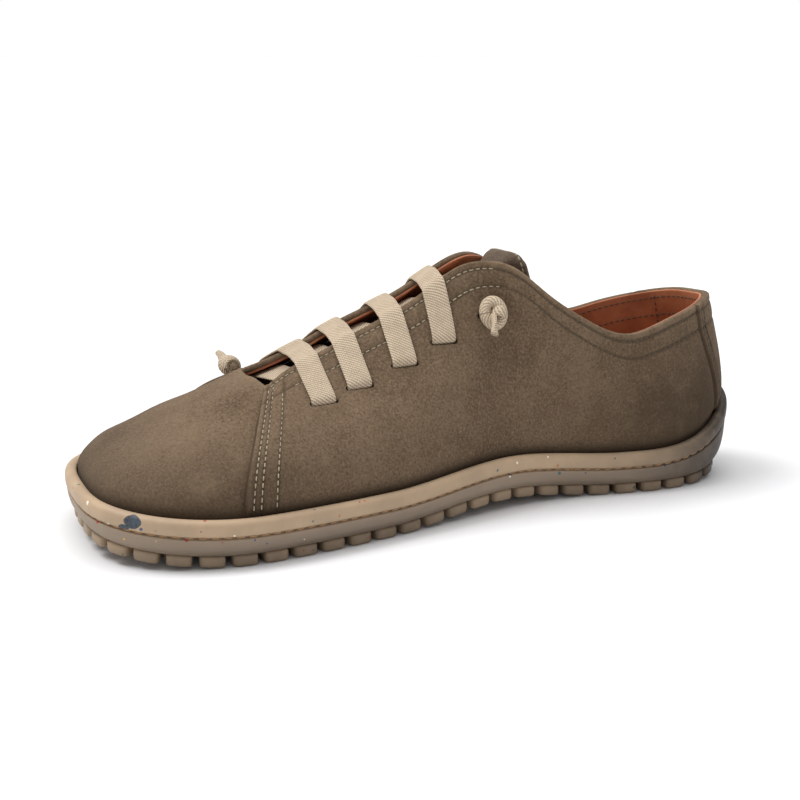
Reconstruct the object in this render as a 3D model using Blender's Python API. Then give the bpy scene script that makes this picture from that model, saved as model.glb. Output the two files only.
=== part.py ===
"""Low barefoot shoe for the right foot, in metres, +Z up.

The toe points to -Y and the medial side, the side of the big toe, to +X. The
shoe stands on its lugs on z = 0, and the origin is under the middle of its box.

The upper, the tongue, the insole and the sole all come from one last. RIBS
holds the last: each row is one rib, which rises from the feather line, where
upper and sole meet, to the edge of the throat or the collar.
"""

import math

import bmesh
import bpy
import numpy as np

# The last
LAST_LENGTH = 0.2555
BALL_WIDTH = 0.104
INSTEP_HEIGHT = 0.0900
HEEL_HEIGHT = 0.0745

# The upper
WALL = 0.0020
QUARTER_STEP = 0.0012
STRIP_STEP = 0.0007
SEAM_RAMP = 0.0008
OVERLAY_FADE = 0.0035

# The sole, a moulded cup
SIDE_HEIGHT = 0.0168
HEEL_BOW = 0.0145
HEEL_BOW_LENGTH = 0.048
WELT_WIDTH = 0.0046
WELT_HEIGHT = 0.0052
GROOVE_WIDTH = 0.0016
GROOVE_DEPTH = 0.0009
LUG_HEIGHT = 0.0036
LUG_WIDTH = 0.0115
LUG_GAP = 0.0022
BASE_THICKNESS = 0.0045
TOE_SPRING = 0.0048
TOE_SPRING_LENGTH = 0.050
HEEL_RISE = 0.0035
HEEL_RISE_LENGTH = 0.030
ARCH_RISE = 0.0035
ARCH_LENGTH = 0.100
FIT = 0.0004

# The insole and the tongue
INSOLE_THICKNESS = 0.0040
INSOLE_FIT = 0.0010
TONGUE_THICKNESS = 0.0020
TONGUE_SAG = 0.0036

# The lace, a flat elastic
LACE_WIDTH = 0.0090
LACE_THICKNESS = 0.0011
LACE_CLEARANCE = 0.00055
BAR_RISE = 0.0008
RUN_REACH = 0.86
FOLD_CLEARANCE = 0.0004
SLIT_LENGTH = 0.0104
SLIT_WIDTH = 0.0023
SLIT_SINK = 0.0006
KNOT_LENGTH = 0.0115
KNOT_WIDTH = 0.0095
KNOT_HEIGHT = 0.0070
KNOT_SWELL = 1.10
TAIL_WIDTH = 0.0046
TAIL_THICKNESS = 0.0026

# How finely the meshes are cut
UPPER_SPACING = 0.0085
OUTER_ROWS = 11
INNER_ROWS = 10
ROW_CROWDING = 1.25
SOLE_COLUMNS = 112
INSOLE_COLUMNS = 56

# The ribs, in order from the toe tip along the medial side, round the heel and
# back along the lateral side. across and along place the foot of a rib, and
# top_across and top_along its top: across in shares of BALL_WIDTH, medial
# positive, and along in shares of LAST_LENGTH from the toe tip. The top's
# height is instep x INSTEP_HEIGHT + heel x HEEL_HEIGHT. lean is how far the rib
# starts outwards for each unit upwards, rise how far its first handle reaches in
# shares of its height, slope its angle in degrees at the top edge, and reach its
# last handle in shares of its chord.
RIB_COLUMNS = ("across", "along", "top_across", "top_along",
               "instep", "heel", "lean", "rise", "slope", "reach")
RIBS = {
    "toe tip":            (0.088, 0.000, 0.010, 0.203, 0.560, 0.000, 0.10, 0.26, 26, 0.44),
    "toe medial":         (0.306, 0.016, 0.050, 0.205, 0.562, 0.000, 0.12, 0.27, 26, 0.44),
    "toe corner medial":  (0.430, 0.067, 0.092, 0.214, 0.566, 0.000, 0.16, 0.32, 27, 0.43),
    "joint medial":       (0.480, 0.133, 0.125, 0.228, 0.559, 0.000, 0.18, 0.38, 29, 0.42),
    "seam medial":        (0.488, 0.177, 0.140, 0.244, 0.563, 0.000, 0.18, 0.42, 32, 0.42),
    "throat 1 medial":    (0.478, 0.222, 0.108, 0.269, 0.595, 0.000, 0.17, 0.47, 31, 0.40),
    "throat 2 medial":    (0.444, 0.292, 0.078, 0.311, 0.642, 0.000, 0.15, 0.45, 37, 0.38),
    "throat 3 medial":    (0.387, 0.381, 0.059, 0.377, 0.722, 0.000, 0.12, 0.42, 43, 0.36),
    "throat 4 medial":    (0.320, 0.469, 0.045, 0.455, 0.819, 0.000, 0.10, 0.40, 50, 0.34),
    "throat 5 medial":    (0.252, 0.554, 0.036, 0.515, 0.920, 0.000, 0.08, 0.38, 57, 0.32),
    "throat 6 medial":    (0.208, 0.618, 0.054, 0.556, 0.990, 0.000, 0.08, 0.36, 64, 0.31),
    "corner medial":      (0.191, 0.661, 0.103, 0.590, 1.004, 0.000, 0.08, 0.35, 70, 0.30),
    "collar 1 medial":    (0.185, 0.702, 0.151, 0.620, 0.975, 0.000, 0.08, 0.35, 76, 0.30),
    "collar 2 medial":    (0.190, 0.747, 0.192, 0.661, 0.875, 0.000, 0.08, 0.35, 80, 0.30),
    "collar 3 medial":    (0.204, 0.800, 0.212, 0.715, 0.480, 0.350, 0.08, 0.35, 84, 0.30),
    "collar 4 medial":    (0.210, 0.856, 0.210, 0.784, 0.000, 0.832, 0.08, 0.35, 86, 0.30),
    "collar 5 medial":    (0.193, 0.910, 0.195, 0.851, 0.000, 0.876, 0.09, 0.35, 85, 0.30),
    "strip medial":       (0.136, 0.958, 0.125, 0.922, 0.000, 0.935, 0.10, 0.35, 84, 0.30),
    "heel medial":        (0.033, 0.990, 0.015, 0.967, 0.000, 0.965, 0.11, 0.35, 82, 0.30),
    "heel back":          (-0.095, 1.000, -0.105, 0.979, 0.000, 0.955, 0.12, 0.35, 81, 0.30),
    "heel lateral":       (-0.225, 0.990, -0.225, 0.969, 0.000, 0.945, 0.11, 0.35, 82, 0.30),
    "strip lateral":      (-0.325, 0.958, -0.325, 0.925, 0.000, 0.910, 0.10, 0.35, 84, 0.30),
    "collar 5 lateral":   (-0.380, 0.910, -0.387, 0.861, 0.000, 0.855, 0.09, 0.35, 85, 0.30),
    "collar 4 lateral":   (-0.397, 0.852, -0.403, 0.794, 0.000, 0.820, 0.08, 0.35, 86, 0.30),
    "collar 3 lateral":   (-0.405, 0.794, -0.369, 0.728, 0.500, 0.335, 0.08, 0.35, 84, 0.30),
    "collar 2 lateral":   (-0.410, 0.737, -0.295, 0.668, 0.892, 0.000, 0.10, 0.40, 74, 0.32),
    "collar 1 lateral":   (-0.409, 0.687, -0.217, 0.633, 0.970, 0.000, 0.12, 0.43, 66, 0.36),
    "corner lateral":     (-0.410, 0.640, -0.151, 0.597, 1.005, 0.000, 0.16, 0.46, 56, 0.40),
    "throat 6 lateral":   (-0.414, 0.590, -0.098, 0.561, 1.000, 0.000, 0.20, 0.48, 48, 0.42),
    "throat 5 lateral":   (-0.423, 0.521, -0.080, 0.518, 0.942, 0.000, 0.24, 0.50, 40, 0.45),
    "throat 4 lateral":   (-0.442, 0.440, -0.074, 0.458, 0.850, 0.000, 0.27, 0.53, 33, 0.47),
    "throat 3 lateral":   (-0.480, 0.355, -0.070, 0.379, 0.758, 0.000, 0.29, 0.54, 28, 0.48),
    "throat 2 lateral":   (-0.513, 0.274, -0.075, 0.318, 0.670, 0.000, 0.29, 0.54, 25, 0.48),
    "throat 1 lateral":   (-0.520, 0.214, -0.105, 0.271, 0.605, 0.000, 0.28, 0.53, 22, 0.47),
    "seam lateral":       (-0.516, 0.173, -0.150, 0.240, 0.562, 0.000, 0.26, 0.50, 22, 0.46),
    "joint lateral":      (-0.499, 0.129, -0.134, 0.226, 0.562, 0.000, 0.18, 0.42, 28, 0.42),
    "toe corner lateral": (-0.435, 0.069, -0.092, 0.214, 0.566, 0.000, 0.16, 0.34, 27, 0.43),
    "toe lateral":        (-0.221, 0.011, -0.040, 0.205, 0.561, 0.000, 0.12, 0.27, 26, 0.44),
}
RIB_NAMES = list(RIBS)

# The lace's slits: the place along the throat, 0 at the throat's lower corner
# and 1 at its upper one, and the place up the rib, 1 at the throat's edge.
SLITS = {
    "medial 1": (0.250, 0.66),
    "medial 2": (0.385, 0.67),
    "medial 3": (0.552, 0.68),
    "medial 4": (0.712, 0.69),
    "medial knot": (0.925, 0.72),
    "lateral knot": (0.118, 0.62),
    "lateral 1": (0.240, 0.66),
    "lateral 2": (0.378, 0.67),
    "lateral 3": (0.562, 0.69),
    "lateral 4": (0.742, 0.71),
}

# The lace's way: bars cross over the throat, and runs cross inside it.
BARS = [("medial 4", "lateral 4"), ("medial 3", "lateral 3"),
        ("medial 2", "lateral 2"), ("medial 1", "lateral 1")]


def column(name):
    """One column of RIBS as an array."""
    return np.array([row[RIB_COLUMNS.index(name)] for row in RIBS.values()])


def foot_rows():
    """The feet of the ribs in plan, before the box is centred."""
    return np.stack([column("across") * BALL_WIDTH, column("along") * LAST_LENGTH], axis=1)


def top_rows():
    """The tops of the ribs, before the box is centred."""
    height = column("instep") * INSTEP_HEIGHT + column("heel") * HEEL_HEIGHT
    return np.stack([column("top_across") * BALL_WIDTH,
                     column("top_along") * LAST_LENGTH, height], axis=1)


def rib_turns():
    """Each rib's place on the closed turn from 0 to 1.

    The step from rib to rib is the mean of the steps of their feet and tops.
    """
    foot, top = foot_rows(), top_rows()
    step = 0.65 * np.linalg.norm(np.roll(foot, -1, axis=0) - foot, axis=1)
    step = step + 0.35 * np.linalg.norm(np.roll(top, -1, axis=0) - top, axis=1)
    turns = np.concatenate([[0.0], np.cumsum(step)])
    return turns[:-1] / turns[-1]


TURNS = rib_turns()
TURN_OF = dict(zip(RIB_NAMES, TURNS))


def closed_spline(values, turn):
    """Values at any turn, on the smooth closed cubic through the ribs' values."""
    count = len(TURNS)
    step = np.diff(np.append(TURNS, TURNS[0] + 1.0))
    values = np.asarray(values, float).reshape(count, -1)
    ahead = np.roll(values, -1, axis=0)
    slope = (ahead - values) / step[:, None]
    matrix = np.zeros((count, count))
    index = np.arange(count)
    before = np.roll(step, 1)
    matrix[index, index] = 2 * (before + step)
    matrix[index, (index - 1) % count] += before
    matrix[index, (index + 1) % count] += step
    bend = np.linalg.solve(matrix, 6 * (slope - np.roll(slope, 1, axis=0)))
    turn = np.mod(np.atleast_1d(turn), 1.0)
    k = np.clip(np.searchsorted(TURNS, turn, side="right") - 1, 0, count - 1)
    h = step[k][:, None]
    s = (turn - TURNS[k])[:, None]
    m0, m1 = bend[k], np.roll(bend, -1, axis=0)[k]
    first = slope[k] - h * (2 * m0 + m1) / 6
    return values[k] + first * s + m0 * s ** 2 / 2 + (m1 - m0) * s ** 3 / (6 * h)


def unit(vectors):
    """The vectors, each one unit long."""
    return vectors / np.linalg.norm(vectors, axis=-1, keepdims=True)


def smooth(share):
    """A soft step from 0 to 1."""
    share = np.clip(share, 0.0, 1.0)
    return share * share * (3 - 2 * share)


def outline(turn, out=0.0):
    """The feather line in plan, moved outwards by out, with along kept from the toe."""
    turn = np.atleast_1d(turn)
    small = 1e-4
    ahead = closed_spline(foot_rows(), turn + small)
    behind = closed_spline(foot_rows(), turn - small)
    tangent = unit(ahead - behind)
    normal = np.stack([tangent[:, 1], -tangent[:, 0]], axis=1)
    out = np.broadcast_to(out, turn.shape)
    return closed_spline(foot_rows(), turn) + normal * out[:, None], normal


def lift(turn):
    """How far the bottom stands off the floor: toe spring, heel rise, arch."""
    foot, _ = outline(turn)
    along = foot[:, 1]
    spring = np.clip(1 - along / TOE_SPRING_LENGTH, 0, None) ** 2
    rise = np.clip((along - LAST_LENGTH + HEEL_RISE_LENGTH) / HEEL_RISE_LENGTH, 0, None) ** 2
    middle = 0.5 * (TURN_OF["throat 5 medial"] + TURN_OF["throat 6 medial"])
    waist, _ = outline(middle)
    arch = smooth(1 - np.abs(along - waist[0, 1]) / (ARCH_LENGTH / 2))
    medial = smooth(foot[:, 0] / (0.2 * BALL_WIDTH))
    return TOE_SPRING * spring + HEEL_RISE * rise + ARCH_RISE * arch * medial


def welt_top(turn):
    """The height of the feather line, on top of the sole's edge."""
    foot, _ = outline(turn)
    start = LAST_LENGTH - HEEL_BOW_LENGTH
    bow = np.clip((foot[:, 1] - start) / HEEL_BOW_LENGTH, 0, None) ** 2.4
    return lift(turn) + SIDE_HEIGHT + HEEL_BOW * bow


def cup_floor(turn):
    """The height of the cup's floor, under the insole."""
    return lift(turn) + LUG_HEIGHT + BASE_THICKNESS


def centre_shift():
    """What moves the last so that the middle of the sole's box is the origin."""
    edge, _ = outline(np.linspace(0, 1, 720, endpoint=False), WELT_WIDTH)
    return -0.5 * (edge.min(axis=0) + edge.max(axis=0))


SHIFT = centre_shift()


def placed(points):
    """Points of the last, moved so that the origin is under the box's middle."""
    points = np.array(points, float)
    points[..., :2] += SHIFT
    return points


def last_point(turn, up):
    """The last's surface: up 0 is the feather line and up 1 the top edge.

    Each rib is a cubic Bezier curve from its foot to its top. Its first handle
    rises with the lean, and its last one comes in at the slope.
    """
    turn, up = np.broadcast_arrays(np.atleast_1d(turn), np.atleast_1d(up))
    foot_plan, normal = outline(turn)
    foot = np.concatenate([foot_plan, welt_top(turn)[:, None]], axis=1)
    top = closed_spline(top_rows(), turn)
    lean, rise, slope, reach = (closed_spline(column(name), turn)[:, 0]
                                for name in ("lean", "rise", "slope", "reach"))
    height = (top - foot)[:, 2]
    chord = np.linalg.norm(top - foot, axis=1)
    outwards = np.concatenate([normal, np.zeros((len(turn), 1))], axis=1)
    upwards = np.array([0.0, 0.0, 1.0])
    first = foot + (rise * height)[:, None] * (upwards + lean[:, None] * outwards)
    flat = (top - foot) * np.array([1, 1, 0]) - 0.006 * outwards
    angle = np.radians(slope)[:, None]
    way = np.cos(angle) * unit(flat) + np.sin(angle) * upwards
    last = top - (reach * chord)[:, None] * way
    t = up[:, None]
    return ((1 - t) ** 3 * foot + 3 * (1 - t) ** 2 * t * first
            + 3 * (1 - t) * t ** 2 * last + t ** 3 * top)


def last_normal(turn, up):
    """The unit normal of the last's surface, pointing outwards."""
    turn, up = np.broadcast_arrays(np.atleast_1d(turn), np.atleast_1d(up))
    small = 2e-4
    high, low = np.clip(up + small, 0, 1), np.clip(up - small, 0, 1)
    along = last_point(turn + small, up) - last_point(turn - small, up)
    upwards = last_point(turn, high) - last_point(turn, low)
    return unit(np.cross(along, upwards))


def off_last(turn, up, distance):
    """Points at a distance outside the last's surface."""
    distance = np.broadcast_to(distance, np.broadcast(turn, up).shape)
    return last_point(turn, up) + last_normal(turn, up) * np.atleast_1d(distance)[:, None]


def overlay(turn):
    """How far the panels stand proud: the quarters, and the strip up the heel."""
    turn = np.mod(turn, 1.0)
    quarter = (turn > TURN_OF["seam medial"]) & (turn < TURN_OF["seam lateral"])
    strip = (turn > TURN_OF["strip medial"]) & (turn < TURN_OF["strip lateral"])
    return QUARTER_STEP * quarter + STRIP_STEP * strip


def upper_columns():
    """The turns of the upper's columns, with a close pair at each seam."""
    foot, top = foot_rows(), top_rows()
    ahead = np.append(TURNS[1:], 1.0)
    turns = []
    total = np.linalg.norm(np.roll(foot, -1, axis=0) - foot, axis=1).sum()
    for k, name in enumerate(RIB_NAMES):
        nxt = (k + 1) % len(RIB_NAMES)
        length = 0.5 * (np.linalg.norm(foot[nxt] - foot[k]) + np.linalg.norm(top[nxt] - top[k]))
        cells = max(2, round(length / UPPER_SPACING))
        inner = TURNS[k] + (ahead[k] - TURNS[k]) * np.arange(1, cells) / cells
        ramp = 0.5 * SEAM_RAMP / total
        if name.startswith(("seam", "strip")):
            turns += [TURNS[k] - ramp, TURNS[k] + ramp]
        else:
            turns.append(TURNS[k])
        turns += list(inner)
    return np.array(turns)


def mesh_object(name, points, faces, material):
    """One closed solid as an object of its own."""
    mesh = bpy.data.meshes.new(name)
    mesh.from_pydata(np.asarray(points).tolist(), [], faces)
    mesh.materials.append(material)
    mesh.validate()
    mesh.shade_smooth()
    mesh.set_sharp_from_angle(angle=math.radians(40))
    thing = bpy.data.objects.new(name, mesh)
    bpy.context.collection.objects.link(thing)
    return thing


def band(rows, columns, start=0):
    """Quads between rows of a closed grid of points, stored row by row."""
    faces = []
    for r in range(rows - 1):
        for c in range(columns):
            n = (c + 1) % columns
            low, high = start + r * columns, start + (r + 1) * columns
            faces.append((low + c, low + n, high + n, high + c))
    return faces


def make_upper(material):
    """The hollow upper: the last's surface, its wall inside, and its open edges.

    It goes down inside the cup of the sole to the cup's floor, and it is open
    there, at the throat and at the collar.
    """
    turns = upper_columns()
    count = len(turns)
    raised = overlay(turns)
    bottom = cup_floor(turns) + FIT

    def wall(rows, away):
        grid = []
        foot = last_point(turns, 0.0)
        out = np.concatenate([outline(turns)[1], np.zeros((count, 1))], axis=1)
        for share in (0.0, 0.5):
            ring = foot + away(np.zeros(count))[:, None] * out
            ring[:, 2] = bottom + share * (foot[:, 2] - bottom)
            grid.append(ring)
        for up in 1 - np.linspace(1.0, 0.0, rows) ** ROW_CROWDING:
            height = last_point(turns, up)[:, 2] - foot[:, 2]
            fade = smooth(height / OVERLAY_FADE)
            grid.append(off_last(turns, np.full(count, up), away(fade)))
        return grid

    outside = wall(OUTER_ROWS, lambda fade: raised * fade)
    inside = wall(INNER_ROWS, lambda fade: np.full(count, -WALL))
    rings = outside + inside[::-1]
    points = placed(np.concatenate(rings))
    faces = band(len(rings), count)
    first, last = 0, (len(rings) - 1) * count
    for c in range(count):
        n = (c + 1) % count
        faces.append((last + c, last + n, first + n, first + c))
    upper = mesh_object("upper", points, faces, material)
    cut_slits(upper)
    return upper


def half_turns(columns):
    """Turns of the sole's columns: even steps of the feather line on each side."""
    fine = np.linspace(0, 1, 2881)
    edge, _ = outline(fine)
    run = np.concatenate([[0], np.cumsum(np.linalg.norm(np.diff(edge, axis=0), axis=1))])
    heel_run = np.interp(TURN_OF["heel back"], fine, run)
    half = columns // 2
    medial = np.interp(np.arange(half) * heel_run / half, run, fine)
    rest = run[-1] - heel_run
    lateral = np.interp(heel_run + np.arange(half) * rest / half, run, fine)
    return np.concatenate([medial, lateral])


def ladder(points, ring_start, columns, cells, upwards):
    """Faces that close a ring: rungs from each medial column to its lateral one.

    New points are added to the list, cells - 1 on each rung, on straight lines.
    """
    half = columns // 2
    rungs = {}
    for i in range(1, half):
        a, b = ring_start + i, ring_start + columns - i
        inner = []
        for k in range(1, cells):
            inner.append(len(points))
            points.append(points[a] + (points[b] - points[a]) * k / cells)
        rungs[i] = [a] + inner + [b]
    grid = {}
    faces = []
    for i in range(1, half - 1):
        for k in range(cells):
            face = (rungs[i][k], rungs[i][k + 1], rungs[i + 1][k + 1], rungs[i + 1][k])
            grid[(i, k)] = len(faces)
            faces.append(face)
    toe, heel = ring_start, ring_start + half
    for k in range(cells):
        faces.append((toe, rungs[1][k + 1], rungs[1][k]))
        faces.append((heel, rungs[half - 1][k], rungs[half - 1][k + 1]))
    if upwards:
        faces = [face[::-1] for face in faces]
    return faces, grid


def sole_rings(turns):
    """The rings of the sole's section, from under its edge, up and into the cup."""
    base = lift(turns) + LUG_HEIGHT
    top = welt_top(turns)
    tall = (top - base)
    side = SIDE_HEIGHT - LUG_HEIGHT
    bow = np.clip((tall - side) / HEEL_BOW, 0, 1)
    edge = WELT_WIDTH
    foot = 0.30 * edge - 0.5 * edge * bow
    groove = top - WELT_HEIGHT
    rings = [
        (foot - LUG_WIDTH, base),
        (foot, base),
        (0.62 * edge - 0.25 * edge * bow, base + 0.16 * tall),
        (0.80 * edge, base + 0.5 * (groove - GROOVE_WIDTH - base)),
        (0.86 * edge, groove - GROOVE_WIDTH),
        (0.86 * edge - GROOVE_DEPTH, groove - 0.5 * GROOVE_WIDTH),
        (0.90 * edge, groove),
        (1.00 * edge, top - 0.52 * WELT_HEIGHT),
        (0.86 * edge, top - 0.20 * WELT_HEIGHT),
        (0.52 * edge, top - 0.02 * WELT_HEIGHT),
        (FIT, top - 0.16 * WELT_HEIGHT),
        (FIT, cup_floor(turns)),
    ]
    built = []
    for out, height in rings:
        plan, _ = outline(turns, out)
        height = np.broadcast_to(height, turns.shape)
        built.append(np.concatenate([plan, height[:, None]], axis=1))
    return built


def make_sole(material):
    """The moulded cup sole: welt, stitch groove, wall, lugs and the open cup."""
    turns = half_turns(SOLE_COLUMNS)
    rings = sole_rings(turns)
    count = SOLE_COLUMNS
    points = [p for ring in rings for p in placed(ring)]
    faces = band(len(rings), count)
    floor_faces, _ = ladder(points, (len(rings) - 1) * count, count, 1, True)
    cells = 3
    bottom_faces, grid = ladder(points, 0, count, cells, False)
    bottom_start = len(faces) + len(floor_faces)
    sole = mesh_object("outsole", points, faces + floor_faces + bottom_faces, material)

    bm = bmesh.new()
    bm.from_mesh(sole.data)
    bm.faces.ensure_lookup_table()
    edge_lugs = [[bm.faces[c], bm.faces[c + 1]] for c in range(0, count, 2)]
    pads = []
    half = count // 2
    for k in range(cells):
        for i in range(2, half - 3, 3):
            pads.append([bm.faces[bottom_start + grid[(i + j, k)]] for j in range(3)])
    for lug in edge_lugs:
        raise_lug(bm, lug)
    for lug in pads:
        raise_lug(bm, lug)
    bm.normal_update()
    bm.to_mesh(sole.data)
    bm.free()
    sole.data.shade_smooth()
    sole.data.set_sharp_from_angle(angle=math.radians(40))
    return sole


def raise_lug(bm, faces):
    """One lug: drafted sides that meet the next lug's at the gap's foot, and a flat sole."""
    bmesh.ops.inset_region(bm, faces=faces, thickness=LUG_GAP / 2, use_even_offset=True)
    verts = {v for face in faces for v in face.verts}
    for v in verts:
        v.co.z -= LUG_HEIGHT
        if abs(v.co.z) < 5e-6:
            v.co.z = 0.0


def make_insole(material):
    """The insole: it lies on the cup's floor inside the upper."""
    turns = half_turns(INSOLE_COLUMNS)
    inset = -(WALL + INSOLE_FIT)
    floor = cup_floor(turns) + FIT
    rings = []
    for out, height in ((-0.0015, 0.0), (0.0, 0.25), (0.0, 0.8), (-0.0012, 1.0)):
        plan, _ = outline(turns, inset + out)
        rings.append(np.concatenate([plan, (floor + height * INSOLE_THICKNESS)[:, None]], axis=1))
    points = [p for ring in rings for p in placed(ring)]
    faces = band(len(rings), len(turns))
    top, _ = ladder(points, (len(rings) - 1) * len(turns), len(turns), 1, True)
    under, _ = ladder(points, 0, len(turns), 1, False)
    return mesh_object("insole", points, faces + top + under, material)


def throat_turn(side, along):
    """A turn along the throat: 0 at its lower corner, 1 at its upper one."""
    low, high = TURN_OF["seam " + side], TURN_OF["corner " + side]
    return low + (high - low) * np.asarray(along, float)


def slit_frame(name):
    """A slit's turn and place up its rib, its centre, its normal."""
    side = name.split()[0]
    along, up = SLITS[name]
    turn = float(throat_turn(side, along))
    centre = off_last(turn, up, QUARTER_STEP)[0]
    return turn, up, centre, last_normal(turn, up)[0]


def edge_crossing(side, start, end):
    """Where the straight way from start to end passes the throat's edge in plan."""
    fine = throat_turn(side, np.linspace(-0.3, 1.1, 561))
    edge = last_point(fine, 1.0)
    way = (end - start)[:2]
    away = (edge[:, 0] - start[0]) * way[1] - (edge[:, 1] - start[1]) * way[0]
    return float(fine[np.argmin(np.abs(away))])


def lace_direction(name, other):
    """The way the lace leaves a slit for another one, in the wall's plane."""
    side = name.split()[0]
    turn, up, centre, normal = slit_frame(name)
    far = slit_frame(other)[2]
    edge = last_point(edge_crossing(side, centre, far), 1.0)[0]
    way = edge - centre
    way = way - normal * way.dot(normal)
    return unit(way)


def slit_axes(name, partner):
    """The slit's axes: towards the throat, along the slit, and out of the wall."""
    _, _, _, normal = slit_frame(name)
    way = lace_direction(name, partner)
    return way, np.cross(normal, way), normal


def bar_partner(name):
    """The slit at the far end of a slit's bar, or of its run for a knot's."""
    for pair in BARS:
        if name in pair:
            return pair[1 - pair.index(name)]
    return {"medial knot": "lateral 4", "lateral knot": "medial 1"}[name]


def cut_slits(upper):
    """Cut the slits for the lace through the wall."""
    for name in SLITS:
        _, _, centre, normal = slit_frame(name)
        way, along, normal = slit_axes(name, bar_partner(name))
        corners = []
        for deep in (-4.0, 2.0):
            for a, b in ((-1, -1), (1, -1), (1, 1), (-1, 1)):
                corners.append(centre + way * a * SLIT_WIDTH / 2
                               + along * b * SLIT_LENGTH / 2 + normal * deep * WALL)
        faces = [(3, 2, 1, 0), (4, 5, 6, 7), (0, 1, 5, 4), (1, 2, 6, 5), (2, 3, 7, 6), (3, 0, 4, 7)]
        mesh = bpy.data.meshes.new("slit " + name)
        mesh.from_pydata(placed(corners).tolist(), [], faces)
        cutter = bpy.data.objects.new("slit_" + name.replace(" ", "_"), mesh)
        bpy.context.collection.objects.link(cutter)
        cutter.hide_render = True
        cutter.display_type = "WIRE"
        cut = upper.modifiers.new(cutter.name, "BOOLEAN")
        cut.operation = "DIFFERENCE"
        cut.solver = "EXACT"
        cut.object = cutter


def turn_points(name, outer_first):
    """The lace's way through a slit: out of the throat's side and back inside.

    It turns round the slit's edge at half its thickness and a clearance.
    """
    _, _, centre, _ = slit_frame(name)
    way, along, normal = slit_axes(name, bar_partner(name))
    keep = LACE_THICKNESS / 2 + LACE_CLEARANCE
    edge = SLIT_WIDTH / 2
    deep = WALL + QUARTER_STEP
    places = []
    for angle in (90, 135, 170):
        places.append((edge - keep * math.cos(math.radians(180 - angle)) if angle > 90 else edge,
                       keep * math.sin(math.radians(angle))))
    below = [(d, -deep - h) for d, h in reversed(places)]
    if name.endswith("knot"):
        places = [(edge - keep, -SLIT_SINK)]
    points = np.array([centre + way * d + normal * h for d, h in places + below])
    widths = np.repeat(along[None, :], len(points), axis=0)
    if not outer_first:
        points, widths = points[::-1], widths[::-1]
    return points, widths


def crossing(start, end, outside):
    """The lace between two slits: a bar outside the wall, or a run inside it.

    Returns its points, and the direction of its width at each of them. A bar
    folds over the throat's edges along their lines, and a run leaves the wall
    just below them.
    """
    away = LACE_CLEARANCE + LACE_THICKNESS / 2
    distance = QUARTER_STEP + away if outside else -(WALL + away)
    reach = 0.96 if outside else RUN_REACH
    centre_a, centre_b = slit_frame(start)[2], slit_frame(end)[2]
    halves = []
    for here, centre, far in ((start, centre_a, centre_b), (end, centre_b, centre_a)):
        turn, up, _, _ = slit_frame(here)
        edge = edge_crossing(here.split()[0], centre, far)
        share = np.array([0.18, 0.42, 0.68, 1.0]) * reach
        turns, ups = turn + (edge - turn) * share, up + (1 - up) * share
        points, normals = off_last(turns, ups, distance), last_normal(turns, ups)
        line = unit(last_point(edge + 2e-3, 1.0) - last_point(edge - 2e-3, 1.0))
        across = unit(np.cross(normals, np.gradient(points, axis=0)))
        across *= np.sign(np.sum(across * line, axis=1, keepdims=True))
        across[-1] = line[0]
        if outside:
            top, out = last_point(edge, 1.0), last_normal(edge, 1.0)
            over = unit(top - last_point(edge, 0.97))
            for tilt in (35, 75):
                lean = math.radians(tilt)
                bend = out * math.cos(lean) + over * math.sin(lean)
                fold = top + QUARTER_STEP * math.cos(lean) * out + (away + FOLD_CLEARANCE) * bend
                points, across = np.concatenate([points, fold]), np.concatenate([across, line])
        halves.append((points, across))
    (points_a, across_a), (points_b, across_b) = halves
    if across_a[-1].dot(across_b[-1]) < 0:
        across_b = -across_b
    rise = np.array([0, 0, BAR_RISE if outside else 0.0])
    middle = 0.5 * (points_a[-1] + points_b[-1]) + rise
    between = unit(across_a[-1] + across_b[-1])
    return (np.concatenate([points_a, middle[None], points_b[::-1]]),
            np.concatenate([across_a, between[None], across_b[::-1]]))


def lace_path():
    """The whole threaded lace: its middle line, and its width's direction."""
    order = ["medial knot", "lateral 4", "medial 4", "lateral 3", "medial 3",
             "lateral 2", "medial 2", "lateral 1", "medial 1", "lateral knot"]
    points, widths = [], []
    inside = True
    for here, there in zip(order, order[1:]):
        through, across = turn_points(here, outer_first=inside)
        between, wide = crossing(here, there, outside=not inside)
        points += list(through) + list(between)
        widths += list(across) + list(wide)
        inside = not inside
    through, across = turn_points(order[-1], outer_first=inside)
    points += list(through)
    widths += list(across)
    return np.array(points), np.array(widths)


def ribbon(points, widths, width, thickness):
    """A flat band along a line: four corners at each point, and closed ends."""
    points = np.asarray(points, float)
    across = np.array(widths, float)
    for k in range(1, len(across)):
        if across[k].dot(across[k - 1]) < 0:
            across[k] *= -1
    run = np.concatenate([[0], np.cumsum(np.linalg.norm(np.diff(points, axis=0), axis=1))])
    tangent = unit(np.gradient(points, run, axis=0))
    across = unit(across)
    across = across / np.linalg.norm(np.cross(across, tangent), axis=1, keepdims=True)
    thick = unit(np.cross(tangent, across))
    rings = []
    for a, b in ((-1, -1), (1, -1), (1, 1), (-1, 1)):
        rings.append(points + across * a * width / 2 + thick * b * thickness / 2)
    grid = np.stack(rings, axis=1).reshape(-1, 3)
    faces = []
    count = len(points)
    for r in range(count - 1):
        for c in range(4):
            n = (c + 1) % 4
            faces.append((4 * r + c, 4 * r + n, 4 * r + 4 + n, 4 * r + 4 + c))
    faces.append((3, 2, 1, 0))
    faces.append(tuple(4 * (count - 1) + c for c in range(4)))
    return grid, faces


def make_lace(material):
    """The threaded lace: four bars over the throat and the runs inside."""
    points, widths = lace_path()
    grid, faces = ribbon(placed(points), widths, LACE_WIDTH, LACE_THICKNESS)
    return mesh_object("lace", grid, faces, material)


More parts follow.
